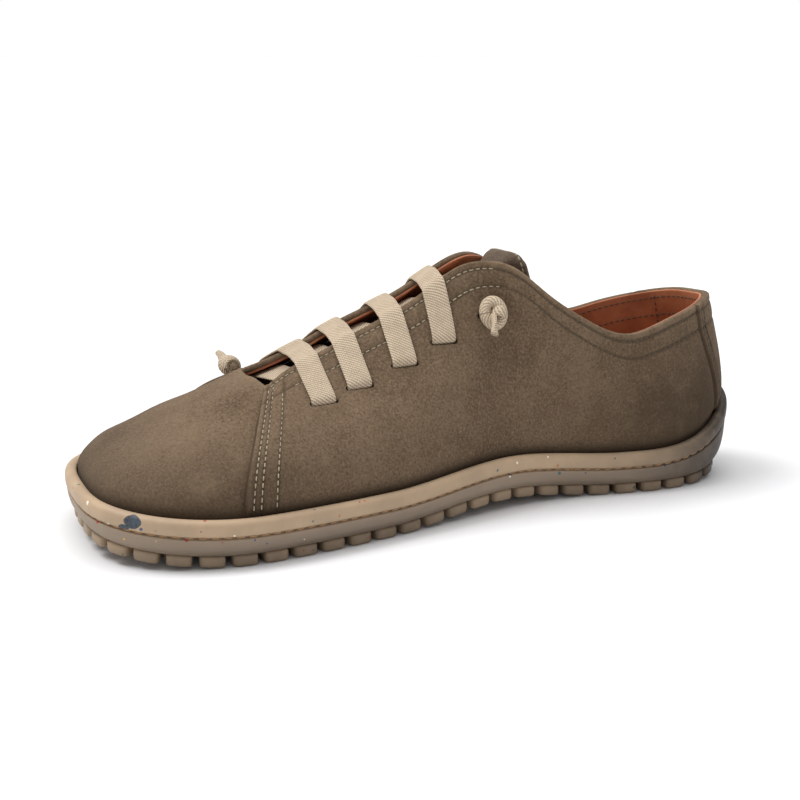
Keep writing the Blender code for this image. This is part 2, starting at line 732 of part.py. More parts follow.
def make_knot(name, slit, material):
    """A knot on the wall over its slit: an oval with a shallow twist round it."""
    _, _, centre, normal = slit_frame(slit)
    way, along, normal = slit_axes(slit, bar_partner(slit))
    middle = centre + normal * (KNOT_HEIGHT / 2 + LACE_CLEARANCE)
    rows, columns = 7, 14
    rings = []
    for r in range(1, rows):
        lat = math.pi * r / rows - math.pi / 2
        turn = np.arange(columns) * 2 * math.pi / columns
        swell = 1 + (KNOT_SWELL - 1) * np.cos(2 * turn + 3 * lat)
        x = np.cos(lat) * np.cos(turn) * swell * KNOT_LENGTH / 2
        y = np.cos(lat) * np.sin(turn) * swell * KNOT_WIDTH / 2
        z = np.full(columns, math.sin(lat) * KNOT_HEIGHT / 2)
        ring = middle + x[:, None] * along + y[:, None] * way + z[:, None] * normal
        rings.append(ring)
    points = [p for ring in rings for p in placed(ring)]
    low = len(points)
    points.append(placed(middle - normal * KNOT_HEIGHT / 2))
    points.append(placed(middle + normal * KNOT_HEIGHT / 2))
    faces = band(rows - 1, columns)
    flip = np.dot(np.cross(along, way), normal) < 0
    last = (rows - 2) * columns
    for c in range(columns):
        n = (c + 1) % columns
        faces.append((n, c, low))
        faces.append((last + c, last + n, low + 1))
    if flip:
        faces = [face[::-1] for face in faces]
    return mesh_object(name, points, faces, material)


def make_tail(name, slit, length, first, last, material):
    """The short end of the lace beyond its knot, folded narrow, standing off the wall.

    It sets off in the first direction and bends over to the last one. Each is
    given along the slit, away from the throat and out of the wall.
    """
    _, _, centre, _ = slit_frame(slit)
    way, along, normal = slit_axes(slit, bar_partner(slit))
    axes = np.array([along, -way, normal])
    first, last = unit(np.array(first)), unit(np.array(last))
    half = np.array([KNOT_LENGTH, KNOT_WIDTH, KNOT_HEIGHT]) / 2
    start = KNOT_SWELL * np.linalg.norm(first * half) + LACE_CLEARANCE
    middle = centre + normal * (KNOT_HEIGHT / 2 + LACE_CLEARANCE)
    share = np.linspace(0, 1, 6)[:, None]
    run = first * (start + share * length) + (last - first) * share ** 2 * length / 2
    points = middle + run @ axes
    side = unit(np.cross(first, last)) @ axes
    grid, faces = ribbon(placed(points), [side] * len(points), TAIL_WIDTH, TAIL_THICKNESS)
    return mesh_object(name, grid, faces, material)


def make_tongue(material):
    """The tongue: an arch under the throat, hung from under the vamp's edge.

    Each row passes inside both walls, with room for the lace over it, and the
    last rows stand above the throat's upper corners.
    """
    wide = np.array([0.56, 0.66, 0.78, 0.89, 0.97])
    room = LACE_THICKNESS + 2 * LACE_CLEARANCE + FIT
    drops = np.array([2 * FIT, room, room, room, room])
    sag = TONGUE_SAG * np.array([0, 0, 0, 0.35, 1.0])

    def row(along, narrow, lower):
        up = 1 - (1 - wide) * narrow
        drop = -(WALL + drops * lower)
        rows = []
        for side in ("medial", "lateral"):
            turn = np.full(len(wide), float(throat_turn(side, along)))
            rows.append(off_last(turn, up, drop) - sag[:, None] * [0, 0, 1])
        medial, lateral = rows
        return np.concatenate([medial, lateral[::-1]])

    stations = [row(along, 1.0, 1.0) for along in (0.06, 0.2, 0.35, 0.5, 0.65, 0.8)]
    stations.append(row(0.88, 0.95, 1.0))
    top = row(0.96, 0.86, 1.0)
    stations.append(top)
    forward = (stations[0] - stations[1])
    front = stations[0] + forward * 0.8
    front[:, 2] -= 0.001
    stations.insert(0, front)
    onward = stations[-1] - stations[-2]
    onward = np.mean(onward, axis=0)
    onward = onward / np.linalg.norm(onward)
    for reach, squeeze in ((0.0045, 0.95), (0.0080, 0.84)):
        raised = top + onward * reach
        middle = raised.mean(axis=0)
        stations.append(middle + (raised - middle) * np.array([squeeze, 1, 1]))
    grid = np.array(stations)
    return sheet_solid("tongue", grid, TONGUE_THICKNESS, material)


def sheet_solid(name, grid, thickness, material):
    """A solid sheet: a grid of outer points, and the same points moved inwards."""
    rows, columns, _ = grid.shape
    along = np.gradient(grid, axis=0)
    across = np.gradient(grid, axis=1)
    normal = unit(np.cross(across, along))
    if normal[..., 2].mean() < 0:
        normal = -normal
    under = grid - normal * thickness
    points = placed(np.concatenate([grid.reshape(-1, 3), under.reshape(-1, 3)]))
    count = rows * columns
    faces = []
    for r in range(rows - 1):
        for c in range(columns - 1):
            a, b = r * columns + c, r * columns + c + 1
            d, e = a + columns, b + columns
            faces.append((a, b, e, d))
            faces.append((count + d, count + e, count + b, count + a))
    border = [(0, c) for c in range(columns)]
    border += [(r, columns - 1) for r in range(1, rows)]
    border += [(rows - 1, c) for c in range(columns - 2, -1, -1)]
    border += [(r, 0) for r in range(rows - 2, 0, -1)]
    ids = [r * columns + c for r, c in border]
    for a, b in zip(ids, ids[1:] + ids[:1]):
        faces.append((b, a, count + a, count + b))
    thing = mesh_object(name, points, faces, material)
    bm = bmesh.new()
    bm.from_mesh(thing.data)
    bmesh.ops.recalc_face_normals(bm, faces=bm.faces)
    bm.to_mesh(thing.data)
    bm.free()
    return thing


def material(name, colour, roughness):
    """A plain finish in the piece's own colour."""
    finish = bpy.data.materials.new(name)
    finish.use_nodes = True
    shader = finish.node_tree.nodes["Principled BSDF"]
    shader.inputs["Base Color"].default_value = (*colour, 1.0)
    shader.inputs["Roughness"].default_value = roughness
    shader.inputs["Metallic"].default_value = 0.0
    return finish


def main():
    """Build the shoe."""
    for thing in list(bpy.data.objects):
        bpy.data.objects.remove(thing)
    suede = material("suede", (0.155, 0.115, 0.068), 0.92)
    rubber = material("rubber", (0.44, 0.32, 0.20), 0.62)
    elastic = material("elastic", (0.52, 0.42, 0.29), 0.85)
    foam = material("insole_cloth", (0.12, 0.10, 0.08), 0.95)
    make_sole(rubber)
    make_upper(suede)
    make_insole(foam)
    make_tongue(suede)
    make_lace(elastic)
    make_knot("lace_knot_top", "medial knot", elastic)
    make_knot("lace_knot_bottom", "lateral knot", elastic)
    make_tail("lace_end_top", "medial knot", 0.0085, (0.2, 0.5, 0.9), (0.3, 0.9, 0.5), elastic)
    make_tail("lace_end_bottom", "lateral knot", 0.0130, (0.2, 0.8, 0.6), (0.5, 0.9, 0.1), elastic)


main()
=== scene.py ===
"""The looks of a low barefoot shoe for the right foot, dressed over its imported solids.

Metres, +Z up, the toe to -Y and the medial side, the side of the big toe, to +X.
Every skin here is worked out from the same last as the solids: a turn from 0 to 1
round the shoe, and an up from 0 at the feather line to 1 at the top edge.
"""

import math

import bmesh
import bpy
import numpy as np
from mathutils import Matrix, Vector


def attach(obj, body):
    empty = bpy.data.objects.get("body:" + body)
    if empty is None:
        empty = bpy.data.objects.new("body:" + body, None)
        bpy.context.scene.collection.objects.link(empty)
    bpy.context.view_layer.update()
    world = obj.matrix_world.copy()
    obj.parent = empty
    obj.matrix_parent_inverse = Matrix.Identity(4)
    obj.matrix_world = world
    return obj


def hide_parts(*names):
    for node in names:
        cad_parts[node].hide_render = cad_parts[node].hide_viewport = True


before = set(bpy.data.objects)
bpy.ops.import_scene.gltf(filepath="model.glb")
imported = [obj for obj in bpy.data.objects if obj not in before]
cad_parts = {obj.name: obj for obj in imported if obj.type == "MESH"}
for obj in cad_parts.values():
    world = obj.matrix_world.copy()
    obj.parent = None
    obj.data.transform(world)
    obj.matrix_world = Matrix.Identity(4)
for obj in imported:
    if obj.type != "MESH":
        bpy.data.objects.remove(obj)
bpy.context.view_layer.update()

# The last
LAST_LENGTH = 0.2555
BALL_WIDTH = 0.104
INSTEP_HEIGHT = 0.0900
HEEL_HEIGHT = 0.0745

# The upper
WALL = 0.0020
QUARTER_STEP = 0.0012
STRIP_STEP = 0.0007
OVERLAY_FADE = 0.0035

# The sole, a moulded cup
SIDE_HEIGHT = 0.0168
HEEL_BOW = 0.0145
HEEL_BOW_LENGTH = 0.048
WELT_WIDTH = 0.0046
WELT_HEIGHT = 0.0052
GROOVE_WIDTH = 0.0016
LUG_HEIGHT = 0.0036
LUG_WIDTH = 0.0115
LUG_GAP = 0.0022
BASE_THICKNESS = 0.0045
TOE_SPRING = 0.0048
TOE_SPRING_LENGTH = 0.050
HEEL_RISE = 0.0035
HEEL_RISE_LENGTH = 0.030
ARCH_RISE = 0.0035
ARCH_LENGTH = 0.100
FIT = 0.0004

# The insole and the tongue
INSOLE_THICKNESS = 0.0040
INSOLE_FIT = 0.0010
TONGUE_THICKNESS = 0.0020
TONGUE_SAG = 0.0036

# The lace, a flat elastic
LACE_WIDTH = 0.0090
LACE_THICKNESS = 0.0011
LACE_CLEARANCE = 0.00055
BAR_RISE = 0.0008
RUN_REACH = 0.86
FOLD_CLEARANCE = 0.0004
SLIT_LENGTH = 0.0104
SLIT_WIDTH = 0.0023
SLIT_SINK = 0.0006
KNOT_LENGTH = 0.0115
KNOT_WIDTH = 0.0095
KNOT_HEIGHT = 0.0070
KNOT_SWELL = 1.10

# The ribs, in order from the toe tip along the medial side, round the heel and
# back along the lateral side. across and along place the foot of a rib, and
# top_across and top_along its top: across in shares of BALL_WIDTH, medial
# positive, and along in shares of LAST_LENGTH from the toe tip. The top's
# height is instep x INSTEP_HEIGHT + heel x HEEL_HEIGHT. lean is how far the rib
# starts outwards for each unit upwards, rise how far its first handle reaches in
# shares of its height, slope its angle in degrees at the top edge, and reach its
# last handle in shares of its chord.
RIB_COLUMNS = ("across", "along", "top_across", "top_along",
               "instep", "heel", "lean", "rise", "slope", "reach")
RIBS = {
    "toe tip":            (0.088, 0.000, 0.010, 0.203, 0.560, 0.000, 0.10, 0.26, 26, 0.44),
    "toe medial":         (0.306, 0.016, 0.050, 0.205, 0.562, 0.000, 0.12, 0.27, 26, 0.44),
    "toe corner medial":  (0.430, 0.067, 0.092, 0.214, 0.566, 0.000, 0.16, 0.32, 27, 0.43),
    "joint medial":       (0.480, 0.133, 0.125, 0.228, 0.559, 0.000, 0.18, 0.38, 29, 0.42),
    "seam medial":        (0.488, 0.177, 0.140, 0.244, 0.563, 0.000, 0.18, 0.42, 32, 0.42),
    "throat 1 medial":    (0.478, 0.222, 0.108, 0.269, 0.595, 0.000, 0.17, 0.47, 31, 0.40),
    "throat 2 medial":    (0.444, 0.292, 0.078, 0.311, 0.642, 0.000, 0.15, 0.45, 37, 0.38),
    "throat 3 medial":    (0.387, 0.381, 0.059, 0.377, 0.722, 0.000, 0.12, 0.42, 43, 0.36),
    "throat 4 medial":    (0.320, 0.469, 0.045, 0.455, 0.819, 0.000, 0.10, 0.40, 50, 0.34),
    "throat 5 medial":    (0.252, 0.554, 0.036, 0.515, 0.920, 0.000, 0.08, 0.38, 57, 0.32),
    "throat 6 medial":    (0.208, 0.618, 0.054, 0.556, 0.990, 0.000, 0.08, 0.36, 64, 0.31),
    "corner medial":      (0.191, 0.661, 0.103, 0.590, 1.004, 0.000, 0.08, 0.35, 70, 0.30),
    "collar 1 medial":    (0.185, 0.702, 0.151, 0.620, 0.975, 0.000, 0.08, 0.35, 76, 0.30),
    "collar 2 medial":    (0.190, 0.747, 0.192, 0.661, 0.875, 0.000, 0.08, 0.35, 80, 0.30),
    "collar 3 medial":    (0.204, 0.800, 0.212, 0.715, 0.480, 0.350, 0.08, 0.35, 84, 0.30),
    "collar 4 medial":    (0.210, 0.856, 0.210, 0.784, 0.000, 0.832, 0.08, 0.35, 86, 0.30),
    "collar 5 medial":    (0.193, 0.910, 0.195, 0.851, 0.000, 0.876, 0.09, 0.35, 85, 0.30),
    "strip medial":       (0.136, 0.958, 0.125, 0.922, 0.000, 0.935, 0.10, 0.35, 84, 0.30),
    "heel medial":        (0.033, 0.990, 0.015, 0.967, 0.000, 0.965, 0.11, 0.35, 82, 0.30),
    "heel back":          (-0.095, 1.000, -0.105, 0.979, 0.000, 0.955, 0.12, 0.35, 81, 0.30),
    "heel lateral":       (-0.225, 0.990, -0.225, 0.969, 0.000, 0.945, 0.11, 0.35, 82, 0.30),
    "strip lateral":      (-0.325, 0.958, -0.325, 0.925, 0.000, 0.910, 0.10, 0.35, 84, 0.30),
    "collar 5 lateral":   (-0.380, 0.910, -0.387, 0.861, 0.000, 0.855, 0.09, 0.35, 85, 0.30),
    "collar 4 lateral":   (-0.397, 0.852, -0.403, 0.794, 0.000, 0.820, 0.08, 0.35, 86, 0.30),
    "collar 3 lateral":   (-0.405, 0.794, -0.369, 0.728, 0.500, 0.335, 0.08, 0.35, 84, 0.30),
    "collar 2 lateral":   (-0.410, 0.737, -0.295, 0.668, 0.892, 0.000, 0.10, 0.40, 74, 0.32),
    "collar 1 lateral":   (-0.409, 0.687, -0.217, 0.633, 0.970, 0.000, 0.12, 0.43, 66, 0.36),
    "corner lateral":     (-0.410, 0.640, -0.151, 0.597, 1.005, 0.000, 0.16, 0.46, 56, 0.40),
    "throat 6 lateral":   (-0.414, 0.590, -0.098, 0.561, 1.000, 0.000, 0.20, 0.48, 48, 0.42),
    "throat 5 lateral":   (-0.423, 0.521, -0.080, 0.518, 0.942, 0.000, 0.24, 0.50, 40, 0.45),
    "throat 4 lateral":   (-0.442, 0.440, -0.074, 0.458, 0.850, 0.000, 0.27, 0.53, 33, 0.47),
    "throat 3 lateral":   (-0.480, 0.355, -0.070, 0.379, 0.758, 0.000, 0.29, 0.54, 28, 0.48),
    "throat 2 lateral":   (-0.513, 0.274, -0.075, 0.318, 0.670, 0.000, 0.29, 0.54, 25, 0.48),
    "throat 1 lateral":   (-0.520, 0.214, -0.105, 0.271, 0.605, 0.000, 0.28, 0.53, 22, 0.47),
    "seam lateral":       (-0.516, 0.173, -0.150, 0.240, 0.562, 0.000, 0.26, 0.50, 22, 0.46),
    "joint lateral":      (-0.499, 0.129, -0.134, 0.226, 0.562, 0.000, 0.18, 0.42, 28, 0.42),
    "toe corner lateral": (-0.435, 0.069, -0.092, 0.214, 0.566, 0.000, 0.16, 0.34, 27, 0.43),
    "toe lateral":        (-0.221, 0.011, -0.040, 0.205, 0.561, 0.000, 0.12, 0.27, 26, 0.44),
}
RIB_NAMES = list(RIBS)

# The lace's slits: the place along the throat, 0 at the throat's lower corner
# and 1 at its upper one, and the place up the rib, 1 at the throat's edge.
SLITS = {
    "medial 1": (0.250, 0.66),
    "medial 2": (0.385, 0.67),
    "medial 3": (0.552, 0.68),
    "medial 4": (0.712, 0.69),
    "medial knot": (0.925, 0.72),
    "lateral knot": (0.118, 0.62),
    "lateral 1": (0.240, 0.66),
    "lateral 2": (0.378, 0.67),
    "lateral 3": (0.562, 0.69),
    "lateral 4": (0.742, 0.71),
}

# The lace's way: bars cross over the throat, and runs cross inside it.
BARS = [("medial 4", "lateral 4"), ("medial 3", "lateral 3"),
        ("medial 2", "lateral 2"), ("medial 1", "lateral 1")]


def column(name):
    """One column of RIBS as an array."""
    return np.array([row[RIB_COLUMNS.index(name)] for row in RIBS.values()])


def foot_rows():
    """The feet of the ribs in plan, before the box is centred."""
    return np.stack([column("across") * BALL_WIDTH, column("along") * LAST_LENGTH], axis=1)


def top_rows():
    """The tops of the ribs, before the box is centred."""
    height = column("instep") * INSTEP_HEIGHT + column("heel") * HEEL_HEIGHT
    return np.stack([column("top_across") * BALL_WIDTH,
                     column("top_along") * LAST_LENGTH, height], axis=1)


def rib_turns():
    """Each rib's place on the closed turn from 0 to 1.

    The step from rib to rib is the mean of the steps of their feet and tops.
    """
    foot, top = foot_rows(), top_rows()
    step = 0.65 * np.linalg.norm(np.roll(foot, -1, axis=0) - foot, axis=1)
    step = step + 0.35 * np.linalg.norm(np.roll(top, -1, axis=0) - top, axis=1)
    turns = np.concatenate([[0.0], np.cumsum(step)])
    return turns[:-1] / turns[-1]


TURNS = rib_turns()
TURN_OF = dict(zip(RIB_NAMES, TURNS))


def closed_spline(values, turn):
    """Values at any turn, on the smooth closed cubic through the ribs' values."""
    count = len(TURNS)
    step = np.diff(np.append(TURNS, TURNS[0] + 1.0))
    values = np.asarray(values, float).reshape(count, -1)
    ahead = np.roll(values, -1, axis=0)
    slope = (ahead - values) / step[:, None]
    matrix = np.zeros((count, count))
    index = np.arange(count)
    before = np.roll(step, 1)
    matrix[index, index] = 2 * (before + step)
    matrix[index, (index - 1) % count] += before
    matrix[index, (index + 1) % count] += step
    bend = np.linalg.solve(matrix, 6 * (slope - np.roll(slope, 1, axis=0)))
    turn = np.mod(np.atleast_1d(turn), 1.0)
    k = np.clip(np.searchsorted(TURNS, turn, side="right") - 1, 0, count - 1)
    h = step[k][:, None]
    s = (turn - TURNS[k])[:, None]
    m0, m1 = bend[k], np.roll(bend, -1, axis=0)[k]
    first = slope[k] - h * (2 * m0 + m1) / 6
    return values[k] + first * s + m0 * s ** 2 / 2 + (m1 - m0) * s ** 3 / (6 * h)


def unit(vectors):
    """The vectors, each divided by its length."""
    return vectors / np.linalg.norm(vectors, axis=-1, keepdims=True)


def smooth(share):
    """A soft step from 0 to 1: three squares of the share less two cubes."""
    share = np.clip(share, 0.0, 1.0)
    return share * share * (3 - 2 * share)


def bell(away, place, width, height=1.0):
    """A bell of a height at a place: exp of minus the square of the way off over width."""
    return height * np.exp(-((away - place) / width) ** 2)


def turn_gap(turn, start):
    """How far a turn lies past another one, from -0.5 to 0.5."""
    return np.mod(turn - start + 0.5, 1) - 0.5


def run_along(points):
    """The way along a line of points, from 0 at its start."""
    return np.concatenate([[0], np.cumsum(np.linalg.norm(np.diff(points, axis=0), axis=1))])


def rows_at(places, run, rows):
    """Rows at places along a run, each column drawn straight from row to row."""
    return np.stack([np.interp(places, run, values) for values in rows.T], axis=1)


def oval(angle, power_x, power_z):
    """A superellipse: cos and sin, signs kept and sizes raised to a power each."""
    x, z = np.cos(angle), np.sin(angle)
    return np.sign(x) * np.abs(x) ** power_x, np.sign(z) * np.abs(z) ** power_z


def outline(turn, out=0.0):
    """The feather line in plan, moved outwards by out, with along kept from the toe."""
    turn = np.atleast_1d(turn)
    small = 1e-4
    ahead = closed_spline(foot_rows(), turn + small)
    behind = closed_spline(foot_rows(), turn - small)
    tangent = unit(ahead - behind)
    normal = np.stack([tangent[:, 1], -tangent[:, 0]], axis=1)
    out = np.broadcast_to(out, turn.shape)
    return closed_spline(foot_rows(), turn) + normal * out[:, None], normal


def lift(turn):
    """How far the bottom stands off the floor: toe spring, heel rise, arch."""
    foot, _ = outline(turn)
    along = foot[:, 1]
    spring = np.clip(1 - along / TOE_SPRING_LENGTH, 0, None) ** 2
    rise = np.clip((along - LAST_LENGTH + HEEL_RISE_LENGTH) / HEEL_RISE_LENGTH, 0, None) ** 2
    middle = 0.5 * (TURN_OF["throat 5 medial"] + TURN_OF["throat 6 medial"])
    waist, _ = outline(middle)
    arch = smooth(1 - np.abs(along - waist[0, 1]) / (ARCH_LENGTH / 2))
    medial = smooth(foot[:, 0] / (0.2 * BALL_WIDTH))
    return TOE_SPRING * spring + HEEL_RISE * rise + ARCH_RISE * arch * medial


def welt_top(turn):
    """The height of the feather line, on top of the sole's edge."""
    foot, _ = outline(turn)
    start = LAST_LENGTH - HEEL_BOW_LENGTH
    bow = np.clip((foot[:, 1] - start) / HEEL_BOW_LENGTH, 0, None) ** 2.4
    return lift(turn) + SIDE_HEIGHT + HEEL_BOW * bow


def cup_floor(turn):
    """The height of the cup's floor, under the insole."""
    return lift(turn) + LUG_HEIGHT + BASE_THICKNESS


def centre_shift():
    """What moves the last so that the middle of the sole's box is the origin."""
    edge, _ = outline(np.linspace(0, 1, 720, endpoint=False), WELT_WIDTH)
    return -0.5 * (edge.min(axis=0) + edge.max(axis=0))


SHIFT = centre_shift()


def placed(points):
    """Points of the last, moved so that the origin is under the box's middle."""
    points = np.array(points, float)
    points[..., :2] += SHIFT
    return points


def last_point(turn, up):
    """The last's surface: up 0 is the feather line and up 1 the top edge.

    Each rib is a cubic Bezier curve from its foot to its top. Its first handle
    rises with the lean, and its last one comes in at the slope.
    """
    turn, up = np.broadcast_arrays(np.atleast_1d(turn), np.atleast_1d(up))
    foot_plan, normal = outline(turn)
    foot = np.concatenate([foot_plan, welt_top(turn)[:, None]], axis=1)
    top = closed_spline(top_rows(), turn)
    lean, rise, slope, reach = (closed_spline(column(name), turn)[:, 0]
                                for name in ("lean", "rise", "slope", "reach"))
    height = (top - foot)[:, 2]
    chord = np.linalg.norm(top - foot, axis=1)
    outwards = np.concatenate([normal, np.zeros((len(turn), 1))], axis=1)
    upwards = np.array([0.0, 0.0, 1.0])
    first = foot + (rise * height)[:, None] * (upwards + lean[:, None] * outwards)
    flat = (top - foot) * np.array([1, 1, 0]) - 0.006 * outwards
    angle = np.radians(slope)[:, None]
    way = np.cos(angle) * unit(flat) + np.sin(angle) * upwards
    last = top - (reach * chord)[:, None] * way
    t = up[:, None]
    return ((1 - t) ** 3 * foot + 3 * (1 - t) ** 2 * t * first
            + 3 * (1 - t) * t ** 2 * last + t ** 3 * top)


def last_normal(turn, up):
    """The unit normal of the last's surface, pointing outwards."""
    turn, up = np.broadcast_arrays(np.atleast_1d(turn), np.atleast_1d(up))
    small = 2e-4
    high, low = np.clip(up + small, 0, 1), np.clip(up - small, 0, 1)
    along = last_point(turn + small, up) - last_point(turn - small, up)
    upwards = last_point(turn, high) - last_point(turn, low)
    return unit(np.cross(along, upwards))


def off_last(turn, up, distance):
    """Points at a distance outside the last's surface."""
    distance = np.broadcast_to(distance, np.broadcast(turn, up).shape)
    return last_point(turn, up) + last_normal(turn, up) * np.atleast_1d(distance)[:, None]


def throat_turn(side, along):
    """A turn along the throat: 0 at its lower corner, 1 at its upper one."""
    low, high = TURN_OF["seam " + side], TURN_OF["corner " + side]
    return low + (high - low) * np.asarray(along, float)


def slit_frame(name):
    """A slit's turn and place up its rib, its centre, its normal."""
    side = name.split()[0]
    along, up = SLITS[name]
    turn = float(throat_turn(side, along))
    centre = off_last(turn, up, QUARTER_STEP)[0]
    return turn, up, centre, last_normal(turn, up)[0]


def edge_crossing(side, start, end):
    """Where the straight way from start to end passes the throat's edge in plan."""
    fine = throat_turn(side, np.linspace(-0.3, 1.1, 561))
    edge = last_point(fine, 1.0)
    way = (end - start)[:2]
    away = (edge[:, 0] - start[0]) * way[1] - (edge[:, 1] - start[1]) * way[0]
    return float(fine[np.argmin(np.abs(away))])


def lace_direction(name, other):
    """The way the lace leaves a slit for another one, in the wall's plane."""
    side = name.split()[0]
    _, _, centre, normal = slit_frame(name)
    far = slit_frame(other)[2]
    edge = last_point(edge_crossing(side, centre, far), 1.0)[0]
    way = edge - centre
    way = way - normal * way.dot(normal)
    return unit(way)


def slit_axes(name, partner):
    """The slit's axes: towards the throat, along the slit, and out of the wall."""
    _, _, _, normal = slit_frame(name)
    way = lace_direction(name, partner)
    return way, np.cross(normal, way), normal


def bar_partner(name):
    """The slit at the far end of a slit's bar, or of its run for a knot's."""
    for pair in BARS:
        if name in pair:
            return pair[1 - pair.index(name)]
    return {"medial knot": "lateral 4", "lateral knot": "medial 1"}[name]


def turn_points(name, outer_first):
    """The lace's way through a slit: out of the throat's side and back inside.

    It turns round the slit's edge at half its thickness and a clearance.
    """
    _, _, centre, _ = slit_frame(name)
    way, along, normal = slit_axes(name, bar_partner(name))
    keep = LACE_THICKNESS / 2 + LACE_CLEARANCE
    edge = SLIT_WIDTH / 2
    deep = WALL + QUARTER_STEP
    places = []
    for angle in (90, 135, 170):
        places.append((edge - keep * math.cos(math.radians(180 - angle)) if angle > 90 else edge,
                       keep * math.sin(math.radians(angle))))
    below = [(d, -deep - h) for d, h in reversed(places)]
    if name.endswith("knot"):
        places = [(edge - keep, -SLIT_SINK)]
    points = np.array([centre + way * d + normal * h for d, h in places + below])
    widths = np.repeat(along[None, :], len(points), axis=0)
    if not outer_first:
        points, widths = points[::-1], widths[::-1]
    return points, widths


def crossing(start, end, outside):
    """The lace between two slits: a bar outside the wall, or a run inside it.

    Returns its points, and the direction of its width at each of them. A bar
    folds over the throat's edges along their lines, and a run leaves the wall
    just below them.
    """
    away = LACE_CLEARANCE + LACE_THICKNESS / 2
    distance = QUARTER_STEP + away if outside else -(WALL + away)
    reach = 0.96 if outside else RUN_REACH
    centre_a, centre_b = slit_frame(start)[2], slit_frame(end)[2]
    halves = []
    for here, centre, far in ((start, centre_a, centre_b), (end, centre_b, centre_a)):
        turn, up, _, _ = slit_frame(here)
        edge = edge_crossing(here.split()[0], centre, far)
        share = np.array([0.18, 0.42, 0.68, 1.0]) * reach
        turns, ups = turn + (edge - turn) * share, up + (1 - up) * share
        points, normals = off_last(turns, ups, distance), last_normal(turns, ups)
        line = unit(last_point(edge + 2e-3, 1.0) - last_point(edge - 2e-3, 1.0))
        across = unit(np.cross(normals, np.gradient(points, axis=0)))
        across *= np.sign(np.sum(across * line, axis=1, keepdims=True))
        across[-1] = line[0]
        if outside:
            top, out = last_point(edge, 1.0), last_normal(edge, 1.0)
            over = unit(top - last_point(edge, 0.97))
            for tilt in (35, 75):
                lean = math.radians(tilt)
                bend = out * math.cos(lean) + over * math.sin(lean)
                fold = top + QUARTER_STEP * math.cos(lean) * out + (away + FOLD_CLEARANCE) * bend
                points, across = np.concatenate([points, fold]), np.concatenate([across, line])
        halves.append((points, across))
    (points_a, across_a), (points_b, across_b) = halves
    if across_a[-1].dot(across_b[-1]) < 0:
        across_b = -across_b
    rise = np.array([0, 0, BAR_RISE if outside else 0.0])
    middle = 0.5 * (points_a[-1] + points_b[-1]) + rise
    between = unit(across_a[-1] + across_b[-1])
    return (np.concatenate([points_a, middle[None], points_b[::-1]]),
            np.concatenate([across_a, between[None], across_b[::-1]]))


def lace_path():
    """The whole threaded lace: its middle line, and its width's direction."""
    order = ["medial knot", "lateral 4", "medial 4", "lateral 3", "medial 3",
             "lateral 2", "medial 2", "lateral 1", "medial 1", "lateral knot"]
    points, widths = [], []
    inside = True
    for here, there in zip(order, order[1:]):
        through, across = turn_points(here, outer_first=inside)
        between, wide = crossing(here, there, outside=not inside)
        points += list(through) + list(between)
        widths += list(across) + list(wide)
        inside = not inside
    through, across = turn_points(order[-1], outer_first=inside)
    points += list(through)
    widths += list(across)
    return np.array(points), np.array(widths)


def detail_speed(turn, up):
    """Metres that the last's surface goes for one unit of turn, and for one of up."""
    turn, up = np.broadcast_arrays(np.atleast_1d(turn), np.atleast_1d(up))
    small = 5e-4
    ahead, behind = last_point(turn + small, up), last_point(turn - small, up)
    high, low = np.clip(up + small, 0, 1), np.clip(up - small, 0, 1)
    rise = np.linalg.norm(last_point(turn, high) - last_point(turn, low), axis=1)
    return np.linalg.norm(ahead - behind, axis=1) / (2 * small), rise / (high - low)


# The skins' fineness: steps from column to column in metres, closer in a zone
# that begins a margin before each seam, and rows, crowded towards the top edge.
COLUMN_STEP = 0.0016
SEAM_STEP = 0.00045
SEAM_ZONE = 0.0118
SEAM_MARGIN = 0.0015
SKIN_ROWS = 66
SKIN_CROWDING = 1.45
LACE_STEP = 0.0007

# Ovals: the powers of cos and sin for a slit, the flat lace and the knots' strands,
# and how deep and how high a slit's cut goes off the last.
SLIT_OVAL = (0.45, 0.45)
LACE_OVAL = (0.42, 0.75)
STRAND_OVAL = (0.8, 0.8)
SLIT_CUT = (-3.2 * WALL, 1.6 * WALL)

# The skins' layers, with the height of their rounded top edges, and the ups of
# the rows on the faces between them.
SUEDE_LAYER = 0.0011
SUEDE_CROWN = 0.00060
LINING_CROWN = 0.00015
LAYER_GAP = 0.00002
INNER_LEVELS = (0.0, 0.2, 0.4, 0.6, 0.8, 0.93, 1.0)

# The seams, each with the side on which its panel lies, and the ramp of a panel's
# step, which is so wide where one unit of turn is SEAM_SPEED metres.
SEAMS = {"seam medial": 1, "seam lateral": -1, "strip medial": 1, "strip lateral": -1}
SEAM_RAMP = 0.0004
SEAM_SPEED = 0.55

# Stitch rows: depths below the throat's and the collar's edge, outside and on the
# lining, distances behind the front edge of a quarter and inside the heel strip,
# and the ups of the short rows that cross a quarter's front corner. These reach
# BAR_OVER past the front rows, whose ends lie so far below the top of a seam that
# is FRONT_SEAM_TALL long. The collar's rows keep a margin off the heel strip, and
# the lining's back seams lie a step of turn inside it.
EDGE_ROWS = (0.0024, 0.0094)
INNER_ROWS = (0.0026, 0.0100)
FRONT_ROWS = (0.0026, 0.0052, 0.0106)
STRIP_ROWS = (0.0017, 0.0038)
BAR_ROWS = (0.925, 0.900)
BAR_OVER = 0.0004
FRONT_SEAM_TALL = 0.062
FRONT_ROW_END = 0.0030
COLLAR_ROW_MARGIN = 0.0015
INNER_SEAM_STEP = 0.012
STITCH_PITCH = 0.0024
STITCH_LENGTH = 0.0017
STITCH_RADIUS = 0.00027
STITCH_TROUGH = 0.00030
STITCH_SUNK = 0.75 * STITCH_TROUGH
BAR_SUNK = 0.3 * STITCH_TROUGH
INNER_SUNK = 0.00004

